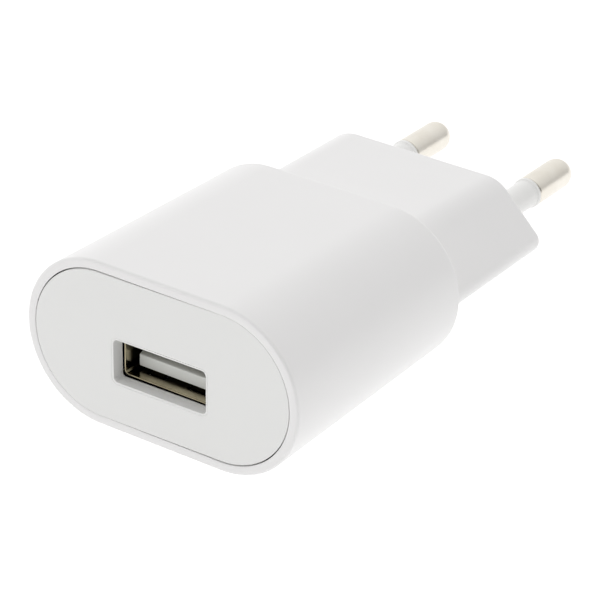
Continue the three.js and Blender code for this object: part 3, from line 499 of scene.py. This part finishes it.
def drawn_metal():
    """Fine marks along one direction, with faint tarnish, of drawn or rolled metal."""
    nodes, given, out = new_group(
        "Drawn metal",
        [("Colour", COLOUR, (0.6, 0.6, 0.6, 1)), ("Tarnish", COLOUR, (0.4, 0.35, 0.25, 1)),
         ("Tarnish amount", FLOAT, 0.3), ("Stretch", VECTOR, (1.0, 0.05, 1.0)),
         ("Roughness", FLOAT, 0.25), ("Roughness spread", FLOAT, 0.12)],
        [("Colour", COLOUR), ("Roughness", FLOAT), ("Height", FLOAT)],
    )
    position = nodes.add("ShaderNodeTexCoord").outputs["Object"]
    stretched = nodes.add(
        "ShaderNodeVectorMath", {0: position, 1: given["Stretch"]}, operation="MULTIPLY"
    ).outputs[0]
    marks = nodes.add(
        "ShaderNodeTexNoise", {"Vector": stretched, "Scale": 6000.0, "Detail": 4.0}
    ).outputs[0]
    stain = nodes.add(
        "ShaderNodeTexNoise", {"Vector": position, "Scale": 320.0, "Detail": 4.0, "Roughness": 0.6}
    ).outputs[0]
    amount = nodes.math("MULTIPLY", nodes.remap(stain, 0.35, 0.75, 0.0, 1.0), given["Tarnish amount"])
    nodes.link(nodes.mix(amount, given["Colour"], given["Tarnish"]), out["Colour"])
    spread = nodes.math("MULTIPLY", nodes.math("SUBTRACT", marks, 0.5), given["Roughness spread"])
    nodes.link(nodes.math("ADD", given["Roughness"], spread), out["Roughness"])
    nodes.link(marks, out["Height"])
    return nodes.tree


def group(name, maker):
    return bpy.data.node_groups.get(name) or maker()


def new_material(name, shader_values=None):
    """Material with a Principled BSDF whose plain values are set on its own sockets."""
    material = bpy.data.materials.new(name)
    material.use_nodes = True
    nodes = Nodes(material.node_tree)
    shader = material.node_tree.nodes["Principled BSDF"]
    for key, value in (shader_values or {}).items():
        shader.inputs[key].default_value = value
    return material, nodes, shader


def bump(nodes, shader, height, distance, strength=1.0):
    values = {"Height": height, "Distance": distance, "Strength": strength}
    nodes.link(nodes.add("ShaderNodeBump", values).outputs[0], shader.inputs["Normal"])


def moulded(name, base, roughness, grain, relief, drift):
    """Moulded or pressed material: size and relief of its grain in mm, drift of its tone."""
    if name in bpy.data.materials:
        return bpy.data.materials[name]
    material, nodes, shader = new_material(name, {"IOR": 1.5})
    strength = bpy.context.scene.charger_colours.grain
    made = nodes.add("ShaderNodeGroup", node_tree=group("Moulded surface", moulded_surface))
    for key, value in {
        "Colour": (*base, 1.0), "Drift": drift, "Grain size": grain, "Roughness": roughness,
        "Roughness spread": 0.06,
    }.items():
        made.inputs[key].default_value = value
    nodes.link(made.outputs["Colour"], shader.inputs["Base Color"])
    nodes.link(made.outputs["Roughness"], shader.inputs["Roughness"])
    bump(nodes, shader, made.outputs["Height"], relief * MM, strength)
    return material


def metal(name, base, tarnish, roughness, stretch, amount, relief, spread=0.12):
    """Drawn metal: stretch of its marks in x, y and z, and their relief in mm."""
    if name in bpy.data.materials:
        return bpy.data.materials[name]
    material, nodes, shader = new_material(name, {"Metallic": 1.0})
    made = nodes.add("ShaderNodeGroup", node_tree=group("Drawn metal", drawn_metal))
    for key, value in {
        "Colour": (*base, 1.0), "Tarnish": (*tarnish, 1.0), "Tarnish amount": amount,
        "Stretch": stretch, "Roughness": roughness, "Roughness spread": spread,
    }.items():
        made.inputs[key].default_value = value
    nodes.link(made.outputs["Colour"], shader.inputs["Base Color"])
    nodes.link(made.outputs["Roughness"], shader.inputs["Roughness"])
    bump(nodes, shader, made.outputs["Height"], relief * MM)
    return material


def socket_sheet():
    """Plated sheet with painted shade: its colour darkens from the mouth to near-black deeper inside.
    """
    name = "Tinned steel"
    if name in bpy.data.materials:
        return bpy.data.materials[name]
    colours = bpy.context.scene.charger_colours
    material = metal(
        name, colours.shell, (0.25, 0.2, 0.11), 0.16, (1.0, 0.1, 1.0), 0.6, 0.0006, spread=0.08)
    nodes = Nodes(material.node_tree)
    target = material.node_tree.nodes["Principled BSDF"].inputs["Base Color"]
    position = nodes.add("ShaderNodeTexCoord").outputs["Object"]
    along = nodes.add("ShaderNodeSeparateXYZ", {"Vector": position}).outputs["Y"]
    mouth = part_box("usb_shell")[0].y
    reach = bpy.context.scene.charger_socket.painted_shade_depth
    # Painted shade: the sheet's colour fades from its plated colour at the mouth to near-black further
    # in
    deep = nodes.remap(along, mouth, mouth + reach, 0.0, 1.0)
    shade_colour = (*colours.shell_painted_shade, 1.0)
    nodes.link(nodes.mix(deep, target.links[0].from_socket, shade_colour), target)
    return material


# Plastics and the like: name, colour, roughness, grain in mm, its relief in mm, drift of the tone.
# A colour given as a word is one of the colour settings.
PLASTICS = {
    "white_plastic": ("White plastic", "housing", 0.36, 0.16, 0.003, 0.02),
    "face_plastic": ("Face plastic", "plate", 0.5, 0.13, 0.006, 0.02),
    "sleeve_plastic": ("Sleeve plastic", "sleeve", 0.38, 0.2, 0.003, 0.02),
    "grey_plastic": ("Socket plastic", "tongue", 0.42, 0.15, 0.004, 0.02),
    "red_insulation": ("Red insulation", (0.55, 0.03, 0.025), 0.4, 0.3, 0.004, 0.02),
    "circuit_laminate": ("Circuit laminate", (0.35, 0.3, 0.12), 0.5, 0.4, 0.006, 0.2),
    "ferrite": ("Ferrite", (0.035, 0.035, 0.038), 0.55, 0.15, 0.012, 0.3),
    "black_plastic": ("Black plastic", (0.025, 0.025, 0.027), 0.45, 0.2, 0.004, 0.2),
    "capacitor_can": ("Capacitor sleeve", (0.03, 0.05, 0.11), 0.35, 0.5, 0.003, 0.1),
    "blue_ceramic": ("Blue ceramic", (0.05, 0.2, 0.5), 0.4, 0.4, 0.01, 0.15),
    "black_epoxy": ("Black epoxy", (0.02, 0.02, 0.022), 0.5, 0.1, 0.006, 0.2),
    "green_cement": ("Green cement", (0.12, 0.3, 0.2), 0.7, 0.2, 0.015, 0.25),
    "chip_ceramic": ("Chip ceramic", (0.3, 0.24, 0.17), 0.55, 0.15, 0.006, 0.2),
    "fibre_sheet": ("Fibre sheet", (0.5, 0.48, 0.42), 0.8, 0.3, 0.012, 0.15),
}
# Metals: name, colour, tarnish, roughness, stretch of the marks, amount of tarnish, relief in mm.
METALS = {
    "nickel_plated_brass": (
        "Nickel plating", "nickel", (0.66, 0.6, 0.5), 0.3, (1.0, 0.06, 1.0), 0.35, 0.0006),
    "spring_bronze": (
        "Spring bronze", "contact", (0.5, 0.34, 0.15), 0.25, (1.0, 0.05, 1.0), 0.4, 0.0006),
    "copper_winding": (
        "Copper winding", (0.75, 0.3, 0.12), (0.45, 0.14, 0.05), 0.35, (0.3, 8.0, 0.3), 0.3, 0.02),
}


def finish(slot):
    """The material of the CAD slot with this name."""
    if slot == "tinned_steel":
        return socket_sheet()
    table, maker = (METALS, metal) if slot in METALS else (PLASTICS, moulded)
    name, base, *values = table[slot]
    if isinstance(base, str):
        base = getattr(bpy.context.scene.charger_colours, base)
    return maker(name, base, *values)


# ------------------------------------------------------------------ housing

def body_section(s, y, inset=0.0):
    along = y / s.body_length
    width = FACE_WIDTH - 2 * s.side_draft * along - 2 * inset
    height = FACE_HEIGHT - 2 * s.top_draft * along - 2 * inset
    return stadium(width, height)


def neck_section(s, y, inset=0.0):
    back = (NECK_END - y) / (NECK_END - s.body_length)
    half = s.neck_width / 2 + s.neck_side_draft * back - inset
    rise = s.neck_height / 2 + s.neck_top_draft * back - inset
    side_round = max(s.neck_side_round - inset, LEAST_ROUND)
    top_round = max(s.neck_top_round - inset, LEAST_ROUND)
    corner = half + side_round * (1 / math.sin(s.neck_slant) - 1)
    flat = corner - rise / math.tan(s.neck_slant)
    middle = -s.neck_drop
    corners = [
        (corner, middle), (flat, middle + rise), (-flat, middle + rise),
        (-corner, middle), (-flat, middle - rise), (flat, middle - rise),
    ]
    return rounded_outline(corners, [side_round, top_round, top_round] * 2, 14)


def pin_place():
    """Distance of a pin's axis from the middle, and its height over the body's axis."""
    low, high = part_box("pin_right")
    return (low.x + high.x) / 2, (low.z + high.z) / 2 - AXIS


class CHARGER_OT_housing(bpy.types.Operator):
    """Body with its recessed rim, plug neck, hollow inside and board rails"""

    bl_idname = "charger.housing"
    bl_label = "Housing"

    # Rings across the rim, in mm from its inner edge, close together at the groove and outer edge
    rim_steps = (
        0.06, 0.3, 0.6, 0.72, 0.78, 0.82, 0.85, 0.875, 0.9, 0.925, 0.95, 0.98, 1.02, 1.06, 1.1,
        1.13, 1.16, 1.18, 1.192,
    )

    def rim(self, skin, s):
        """Rings across the rim, from its inner edge over the fine groove to the outer edge."""
        soft = self.rim_steps[0] * MM
        rings = [
            skin.ring(body_section(s, 0, s.rim_width), s.recess),
            skin.ring(body_section(s, 0, s.rim_width), soft),
            skin.ring(body_section(s, 0, s.rim_width - soft / 3), soft / 3),
        ]
        straight = FACE_WIDTH / 2 - FACE_HEIGHT / 2
        fade_length = 0.62 * FACE_HEIGHT / 2
        faded = 0.85  # share of its depth that the groove loses round the half circles
        for offset in (step * MM for step in self.rim_steps):
            outline = body_section(s, 0, s.rim_width - offset)
            beyond = max(offset - (s.rim_width - s.rim_round), 0.0)
            rounding = s.rim_round - math.sqrt(max(s.rim_round ** 2 - beyond ** 2, 0.0))
            across = math.exp(-((offset - s.groove_place) / s.groove_width) ** 2)
            depths = []
            for x, _ in outline:
                fade = min(max((abs(x) - straight) / fade_length, 0.0), 1.0)
                groove = s.groove_depth * (1 - faded * fade * fade * (3 - 2 * fade))
                depths.append(rounding + groove * across)
            rings.append(skin.uneven_ring(outline, depths))
        return rings

    def execute(self, context):
        s = context.scene.charger_housing
        pin = context.scene.charger_pins
        skin = Skin()
        cavity_rear = s.body_length - s.wall
        neck_inside = NECK_END - s.neck_end_wall

        outside = self.rim(skin, s)
        run = s.body_length - s.rim_round - s.rear_round
        for y in (s.rim_round + run * k / 8 for k in range(9)):
            outside.append(skin.ring(body_section(s, y), y))
        for depth, inset in reversed(quarter_round(s.rear_round, 6)[:-1]):
            y = s.body_length - depth
            outside.append(skin.ring(body_section(s, y, inset), y))
        skin.join(*outside)

        run = NECK_END - s.body_length - s.neck_end_round
        neck = [
            skin.ring(neck_section(s, y), y)
            for y in (s.body_length + run * k / 6 for k in range(7))
        ]
        for depth, inset in reversed(quarter_round(s.neck_end_round, 8)[:-1]):
            y = NECK_END - depth
            neck.append(skin.ring(neck_section(s, y, inset), y))
        skin.join(*neck)
        skin.cap(outside[-1], neck[0])

        bore = pin.sleeve / 2 + s.pin_gap
        pocket = pin.flange / 2 + s.pin_gap
        step = neck_inside + s.pocket_depth
        flare, flare_depth = 0.05 * MM, 0.06 * MM
        pin_x, pin_z = pin_place()
        mouths, seats = [], []
        for side in SIDES.values():
            rings = [
                skin.ring(circle(radius, side * pin_x, pin_z), y) for radius, y in (
                    (bore + flare, NECK_END), (bore, NECK_END - flare_depth), (bore, step),
                    (pocket, step), (pocket, neck_inside),
                )
            ]
            skin.join(*rings)
            mouths.append(rings[0])
            seats.append(rings[-1])
        skin.cap(neck[-1], *mouths)

        neck_hollow = [
            skin.ring(neck_section(s, y, s.neck_wall), y) for y in (neck_inside, cavity_rear)
        ]
        skin.join(*neck_hollow)
        skin.cap(neck_hollow[0], *seats)
        hollow = [skin.ring(body_section(s, y, s.wall), y) for y in (cavity_rear, s.recess)]
        skin.join(*hollow)
        skin.cap(hollow[0], neck_hollow[1])
        skin.cap(outside[0], hollow[1])

        low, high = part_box("circuit_board")
        front, rear = low.y - FACE + s.rail_gap, cavity_rear - s.rail_setback
        below = low.z - AXIS - s.rail_gap - s.rail_height
        above = high.z - AXIS + s.rail_gap
        for side in SIDES.values():
            x0, x1 = sorted((side * (high.x - s.rail_overlap), side * (high.x + s.rail_root)))
            for z0 in (below, above):
                skin.block(x0, x1, front, rear, z0, z0 + s.rail_height)

        piece = skin.piece("housing_shell", finish("white_plastic"))
        place(piece, "housing", "white_plastic")
        return {"FINISHED"}


# ------------------------------------------------------------------ face plate

class CHARGER_OT_plate(bpy.types.Operator):
    """Face plate with its port opening and the skirt that holds it"""

    bl_idname = "charger.plate"
    bl_label = "Face plate"

    def execute(self, context):
        s = context.scene.charger_plate
        body = context.scene.charger_housing
        socket_low, socket_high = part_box("usb_shell")
        width = socket_high.x - socket_low.x + 2 * s.port_gap
        height = 2 * (s.port_height - (socket_low.z - AXIS) + s.port_gap)
        inset = body.rim_width + s.seam
        skin = Skin()

        edge = [
            skin.ring(body_section(body, 0, inset + more), depth)
            for depth, more in quarter_round(s.edge, 5)
        ]
        edge.append(skin.ring(body_section(body, 0, inset), s.thickness))
        skin.join(*edge)

        half = s.bead_width / 2
        profile = [
            (0.0, s.bead_place + half), (s.bead_depth, s.bead_place + half / 2),
            (s.bead_depth, s.bead_place - half / 2), (0.0, s.bead_place - half),
        ]
        profile += quarter_round(s.port_lip, 4) + [(s.thickness, -s.port_squeeze)]
        mouth = [
            skin.ring(rounded_rectangle(
                width + 2 * flare, height + 2 * flare, s.port_corner + flare, s.port_height,
            ), depth)
            for depth, flare in profile
        ]
        skin.join(*mouth)
        skin.cap(edge[0], mouth[0])

        end = s.thickness + s.skirt
        outer = body.wall + s.skirt_gap
        skirt = [
            skin.ring(body_section(body, end, more), y) for more, y in (
                (outer, s.thickness), (outer, end), (outer + s.skirt_wall, end),
                (outer + s.skirt_wall, s.thickness),
            )
        ]
        skin.join(*skirt)
        skin.cap(edge[-1], skirt[0])
        skin.cap(skirt[-1], mouth[-1])

        piece = skin.piece("face_cover", finish("face_plastic"))
        seat = Matrix.Translation((0.0, 0.0, AXIS))
        piece.data.transform(seat @ Matrix.Rotation(-s.seat_turn, 4, "Y") @ seat.inverted())
        place(piece, "face_plate", "face_plastic")
        return {"FINISHED"}


# ------------------------------------------------------------------ pins and sleeves

class CHARGER_OT_pins(bpy.types.Operator):
    """The two round pins and their insulating sleeves"""

    bl_idname = "charger.pins"
    bl_label = "Pins"

    def execute(self, context):
        s = context.scene.charger_pins
        low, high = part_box("pin_right")
        radius = s.diameter / 2
        stub, tip = low.y - FACE, high.y - FACE
        seat = stub + s.stub
        flange_end = seat + s.flange_height
        pin_x, pin_z = pin_place()
        collar_low, collar_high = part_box("pin_sleeve_right")
        collar = (collar_high.x - collar_low.x) / 2
        start, end = collar_low.y - FACE, collar_high.y - FACE
        metal_start = end + s.shoulder_gap
        shank, flange = s.shank / 2, s.flange / 2
        dome = [(radius - inset, tip - depth) for depth, inset in reversed(quarter_round(radius, 20))]
        dome = dome[:-1]
        shoulder = [
            (radius - inset, metal_start + depth) for depth, inset in quarter_round(s.shoulder, 5)
        ]
        pin = [
            (0, stub), (shank - s.stub_chamfer, stub), (shank, stub + s.stub_chamfer),
            (shank, seat), (flange, seat), (flange, flange_end), (shank, flange_end),
            (shank, metal_start), *shoulder, *dome, (0, tip),
        ]
        bore, outer = s.shank / 2 + s.sleeve_gap, s.sleeve / 2
        soft, slight = s.sleeve_round, s.sleeve_round / 5
        collar_start = end - s.collar_length
        ramp = collar_start - s.ramp
        sleeve = [
            (bore, start), (outer, start), (outer, ramp - soft), (outer + slight, ramp),
            (collar - slight, collar_start), (collar, collar_start + soft),
            (collar, end - soft), (collar - soft, end), (bore, end), (bore, start),
        ]
        for name, side in SIDES.items():
            plating = finish("nickel_plated_brass")
            blade = turned(pin, side * pin_x, pin_z).piece(f"plug_pin_{name}", plating)
            place(blade, f"pin_{name}", "nickel_plated_brass")
            plastic = finish("sleeve_plastic")
            cover = turned(sleeve, side * pin_x, pin_z).piece(f"plug_sleeve_{name}", plastic, 28.0)
            place(cover, f"pin_sleeve_{name}", "sleeve_plastic")
        return {"FINISHED"}


# ------------------------------------------------------------------ USB socket

class CHARGER_OT_socket(bpy.types.Operator):
    """Shell, tongue and rear block of the USB socket"""

    bl_idname = "charger.socket"
    bl_label = "USB socket"

    def shell(self, context):
        s = context.scene.charger_socket
        low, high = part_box("usb_shell")
        front, rear = low.y - FACE, high.y - FACE
        width = high.x - low.x
        bottom = low.z - AXIS
        middle = context.scene.charger_plate.port_height
        height = 2 * (middle - bottom)
        lip = s.mouth_round
        skin = Skin()
        profile = [(lip, 0.0), (lip * 0.3, lip * 0.3), (0.0, lip)]
        outer = [
            skin.ring(rounded_rectangle(
                width - 2 * inset, height - 2 * inset, s.corner - inset, middle), front + depth)
            for inset, depth in profile
        ]
        outer.append(skin.ring(rounded_rectangle(width, height, s.corner, middle), rear))
        inner = [
            skin.ring(rounded_rectangle(
                width - 2 * inset, height - 2 * inset, s.corner - inset, middle), y)
            for inset, y in (
                (s.sheet, rear), (s.sheet, front + lip), (s.sheet - lip * 0.3, front + lip * 0.3),
                (s.sheet - lip, front),
            )
        ]
        skin.join(*outer, *inner, outer[0])
        piece = skin.piece("socket_shell", finish("tinned_steel"))
        cutters = []
        for wall_name, wall in WALLS.items():
            for side_name, side in SIDES.items():
                a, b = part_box(f"usb_catch_{wall_name}_{side_name}")
                z = middle + wall * height / 2
                cutters.append(cutter_box(
                    a.x - s.window_gap, b.x + s.window_gap,
                    a.y - FACE - s.window_gap, b.y - FACE + s.window_gap / 3,
                    z - 2 * s.sheet, z + 2 * s.sheet,
                ))
        cut_away(piece, cutters)
        skin = Skin()
        slight = 0.01 * MM  # keeps the legs' faces apart from the sheet's
        outside = width / 2 - slight
        inside = width / 2 - s.sheet + slight
        for y in (front + s.first_leg, front + s.second_leg):
            for side in SIDES.values():
                x0, x1 = sorted((side * inside, side * outside))
                skin.block(x0, x1, y, y + s.leg_width, middle, high.z - AXIS)
        legs = skin.piece("socket_legs", finish("tinned_steel"))
        place(piece, "usb_shell", "tinned_steel")
        place(legs, "usb_shell", "tinned_steel")
        round_edges(legs, s.leg_round)

    def insulator(self, context):
        s = context.scene.charger_socket
        shell_low, shell_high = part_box("usb_shell")
        low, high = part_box("usb_insulator")
        tongue_front, rear = low.y - FACE, high.y - FACE
        block_front = rear - s.block_length
        middle = context.scene.charger_plate.port_height
        block_width, block_height = high.x - low.x, high.z - low.z
        tongue_width = shell_high.x - shell_low.x - 2 * s.tongue_side
        tongue_bottom = shell_low.z - AXIS + s.tongue_rise
        tongue_middle = tongue_bottom + s.tongue_height / 2
        top = tongue_bottom + s.tongue_height
        skin = Skin()
        steps = [
            (depth, inset, s.tongue_slope * (1 - depth / s.tongue_run))
            for depth, inset in quarter_round(s.tongue_edge, 3)
        ] + [(s.tongue_run, 0.0, 0.0), (block_front - tongue_front, 0.0, 0.0)]
        tongue = [
            skin.ring(rounded_rectangle(
                tongue_width - 2 * inset, s.tongue_height - 2 * inset - drop,
                s.tongue_corner - inset / 2, tongue_middle - drop / 2, steps=5,
            ), tongue_front + depth)
            for depth, inset, drop in steps
        ]
        skin.join(*tongue)
        skin.bm.faces.new(tongue[0])
        block = [
            skin.ring(rounded_rectangle(
                block_width, block_height, s.block_corner, middle, steps=5), y)
            for y in (block_front, rear)
        ]
        skin.join(*block)
        skin.cap(tongue[-1], block[0])
        skin.bm.faces.new(block[1])
        piece = skin.piece("socket_tongue", finish("grey_plastic"))
        cutters = []
        beam, half_slot = top - s.tail_depth, s.tail_slot / 2
        root_gap = 0.1 * MM
        for index in range(1, 5):
            a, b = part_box(f"usb_contact_{index}")
            x0, x1 = a.x - s.slot_gap, b.x + s.slot_gap
            root = b.y - FACE + root_gap
            cutters.append(cutter_box(
                x0, x1, tongue_front + s.slot_setback, root, top - s.slot_depth, top + BEYOND))
            cutters.append(cutter_box(
                x0, x1, block_front - BEYOND, rear + BEYOND, beam - half_slot, beam + half_slot))
        cut_away(piece, cutters)
        place(piece, "usb_insulator", "grey_plastic")

    def execute(self, context):
        self.shell(context)
        self.insulator(context)
        return {"FINISHED"}


# ------------------------------------------------------------------ inside

class CHARGER_OT_finishes(bpy.types.Operator):
    """Materials of the springs, the board and everything on it"""

    bl_idname = "charger.finishes"
    bl_label = "Inner finishes"

    def execute(self, context):
        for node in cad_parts.values():
            slot = node.data.materials[0].name.split(".")[0]
            node.data.materials[0] = finish(slot)
        return {"FINISHED"}


# ------------------------------------------------------------------ stage

class CHARGER_OT_stage(bpy.types.Operator):
    """Pale floor, soft surrounding light and the camera"""

    bl_idname = "charger.stage"
    bl_label = "Stage"

    def floor(self, s):
        bm = bmesh.new()
        bmesh.ops.create_grid(bm, x_segments=8, y_segments=8, size=FLOOR_REACH)
        mesh = bpy.data.meshes.new("floor")
        bm.to_mesh(mesh)
        bm.free()
        floor = bpy.data.objects.new("floor", mesh)
        bpy.context.scene.collection.objects.link(floor)
        material, nodes, shader = new_material("Pale floor", {"Roughness": 0.9})
        position = nodes.add("ShaderNodeTexCoord").outputs["Object"]
        cloud = nodes.add("ShaderNodeTexNoise", {"Vector": position, "Scale": 3.0}).outputs[0]
        for socket, low, high in (("Base Color", 0.34, 0.36), ("Emission Color", 0.99, 1.0)):
            tone = nodes.remap(cloud, 0.0, 1.0, low, high)
            shade = nodes.add("ShaderNodeCombineColor", {0: tone, 1: tone, 2: tone}).outputs[0]
            nodes.link(shade, shader.inputs[socket])
        shader.inputs["Emission Strength"].default_value = s.floor_glow
        mesh.materials.append(material)

    def surroundings(self, s):
        world = bpy.data.worlds.new("Soft light")
        world.use_nodes = True
        nodes = Nodes(world.node_tree)
        direction = nodes.add("ShaderNodeTexCoord").outputs["Generated"]
        parts = nodes.add("ShaderNodeSeparateXYZ", {"Vector": direction}).outputs
        low = nodes.math("SUBTRACT", 1.0, nodes.math("MAXIMUM", parts["Z"], 0.0))
        dark_x, dark_y = 0.9, -0.58  # the way to the dark side: right and a little forward
        towards = nodes.math(
            "MULTIPLY_ADD", parts["X"], dark_x, nodes.math("MULTIPLY", parts["Y"], dark_y))
        shade = nodes.math("MULTIPLY", low, nodes.math("MAXIMUM", towards, 0.0))
        before = nodes.math("MAXIMUM", nodes.math("MULTIPLY", parts["Y"], -1.0), 0.0)
        front_shade = nodes.math("MULTIPLY", nodes.math("MULTIPLY", before, low), s.front_shade)
        behind = nodes.math("MAXIMUM", parts["Y"], 0.0)
        back_left = 0.55  # how far to the left the shade behind starts
        beside = nodes.math("MAXIMUM", nodes.math("ADD", parts["X"], back_left), 0.0)
        back_shade = nodes.math("MULTIPLY", nodes.math("MULTIPLY", behind, beside), s.back_shade)
        shade = nodes.math("MULTIPLY_ADD", shade, s.side_shade, back_shade)
        shade = nodes.math("ADD", shade, front_shade)
        shade = nodes.math("MULTIPLY_ADD", low, s.low_shade, shade)
        dimmest = 0.05
        level = nodes.math("MULTIPLY", nodes.math("SUBTRACT", 1.0, shade), s.sky)
        level = nodes.math("MAXIMUM", level, dimmest)
        light = nodes.add("ShaderNodeCombineColor", {0: level, 1: level, 2: level}).outputs[0]
        nodes.link(light, world.node_tree.nodes["Background"].inputs["Color"])
        bpy.context.scene.world = world

    def camera(self, s):
        data = bpy.data.cameras.new("camera")
        data.lens = s.lens
        data.sensor_width = 36.0
        data.clip_start = 0.01
        camera = bpy.data.objects.new("camera", data)
        right = Vector((math.cos(s.turn), math.sin(s.turn), 0.0))
        back = Vector((
            math.sin(s.turn) * math.cos(s.tilt), -math.cos(s.turn) * math.cos(s.tilt),
            math.sin(s.tilt),
        ))
        up = back.cross(right)
        across = math.cos(s.roll) * right + math.sin(s.roll) * up
        upward = -math.sin(s.roll) * right + math.cos(s.roll) * up
        turn = Matrix((across, upward, back)).transposed().to_4x4()
        camera.matrix_world = Matrix.Translation(Vector(s.place)) @ turn
        bpy.context.scene.collection.objects.link(camera)
        bpy.context.scene.camera = camera

    def execute(self, context):
        s = context.scene.charger_stage
        context.scene.view_settings.view_transform = "Standard"
        self.floor(s)
        self.surroundings(s)
        self.camera(s)
        return {"FINISHED"}


# ------------------------------------------------------------------ panel and start

PARTS = (
    CHARGER_OT_housing, CHARGER_OT_plate, CHARGER_OT_pins, CHARGER_OT_socket, CHARGER_OT_finishes,
    CHARGER_OT_stage,
)
SETTINGS = {
    "charger_housing": ChargerHousingSettings,
    "charger_plate": ChargerPlateSettings,
    "charger_pins": ChargerPinSettings,
    "charger_socket": ChargerSocketSettings,
    "charger_colours": ChargerColourSettings,
    "charger_stage": ChargerStageSettings,
}


class CHARGER_PT_panel(bpy.types.Panel):
    """Builds the charger's pieces one by one"""

    bl_idname = "CHARGER_PT_panel"
    bl_label = "USB Wall Charger"
    bl_space_type = "VIEW_3D"
    bl_region_type = "UI"
    bl_category = "Charger"

    def draw(self, context):
        for part in PARTS:
            self.layout.operator(part.bl_idname)
        for name, settings in SETTINGS.items():
            box = self.layout.box()
            box.label(text=settings.__name__.removeprefix("Charger"))
            for setting in settings.__annotations__:
                box.prop(getattr(context.scene, name), setting)


def register():
    for settings in SETTINGS.values():
        bpy.utils.register_class(settings)
    for part in (*PARTS, CHARGER_PT_panel):
        bpy.utils.register_class(part)
    for name, settings in SETTINGS.items():
        setattr(bpy.types.Scene, name, PointerProperty(type=settings))


def unregister():
    for name in SETTINGS:
        delattr(bpy.types.Scene, name)
    for part in (CHARGER_PT_panel, *reversed(PARTS)):
        bpy.utils.unregister_class(part)
    for settings in reversed(SETTINGS.values()):
        bpy.utils.unregister_class(settings)


def main():
    register()
    bpy.ops.charger.housing()
    bpy.ops.charger.plate()
    bpy.ops.charger.pins()
    bpy.ops.charger.socket()
    bpy.ops.charger.finishes()
    bpy.ops.charger.stage()


if __name__ == "__main__":
    main()
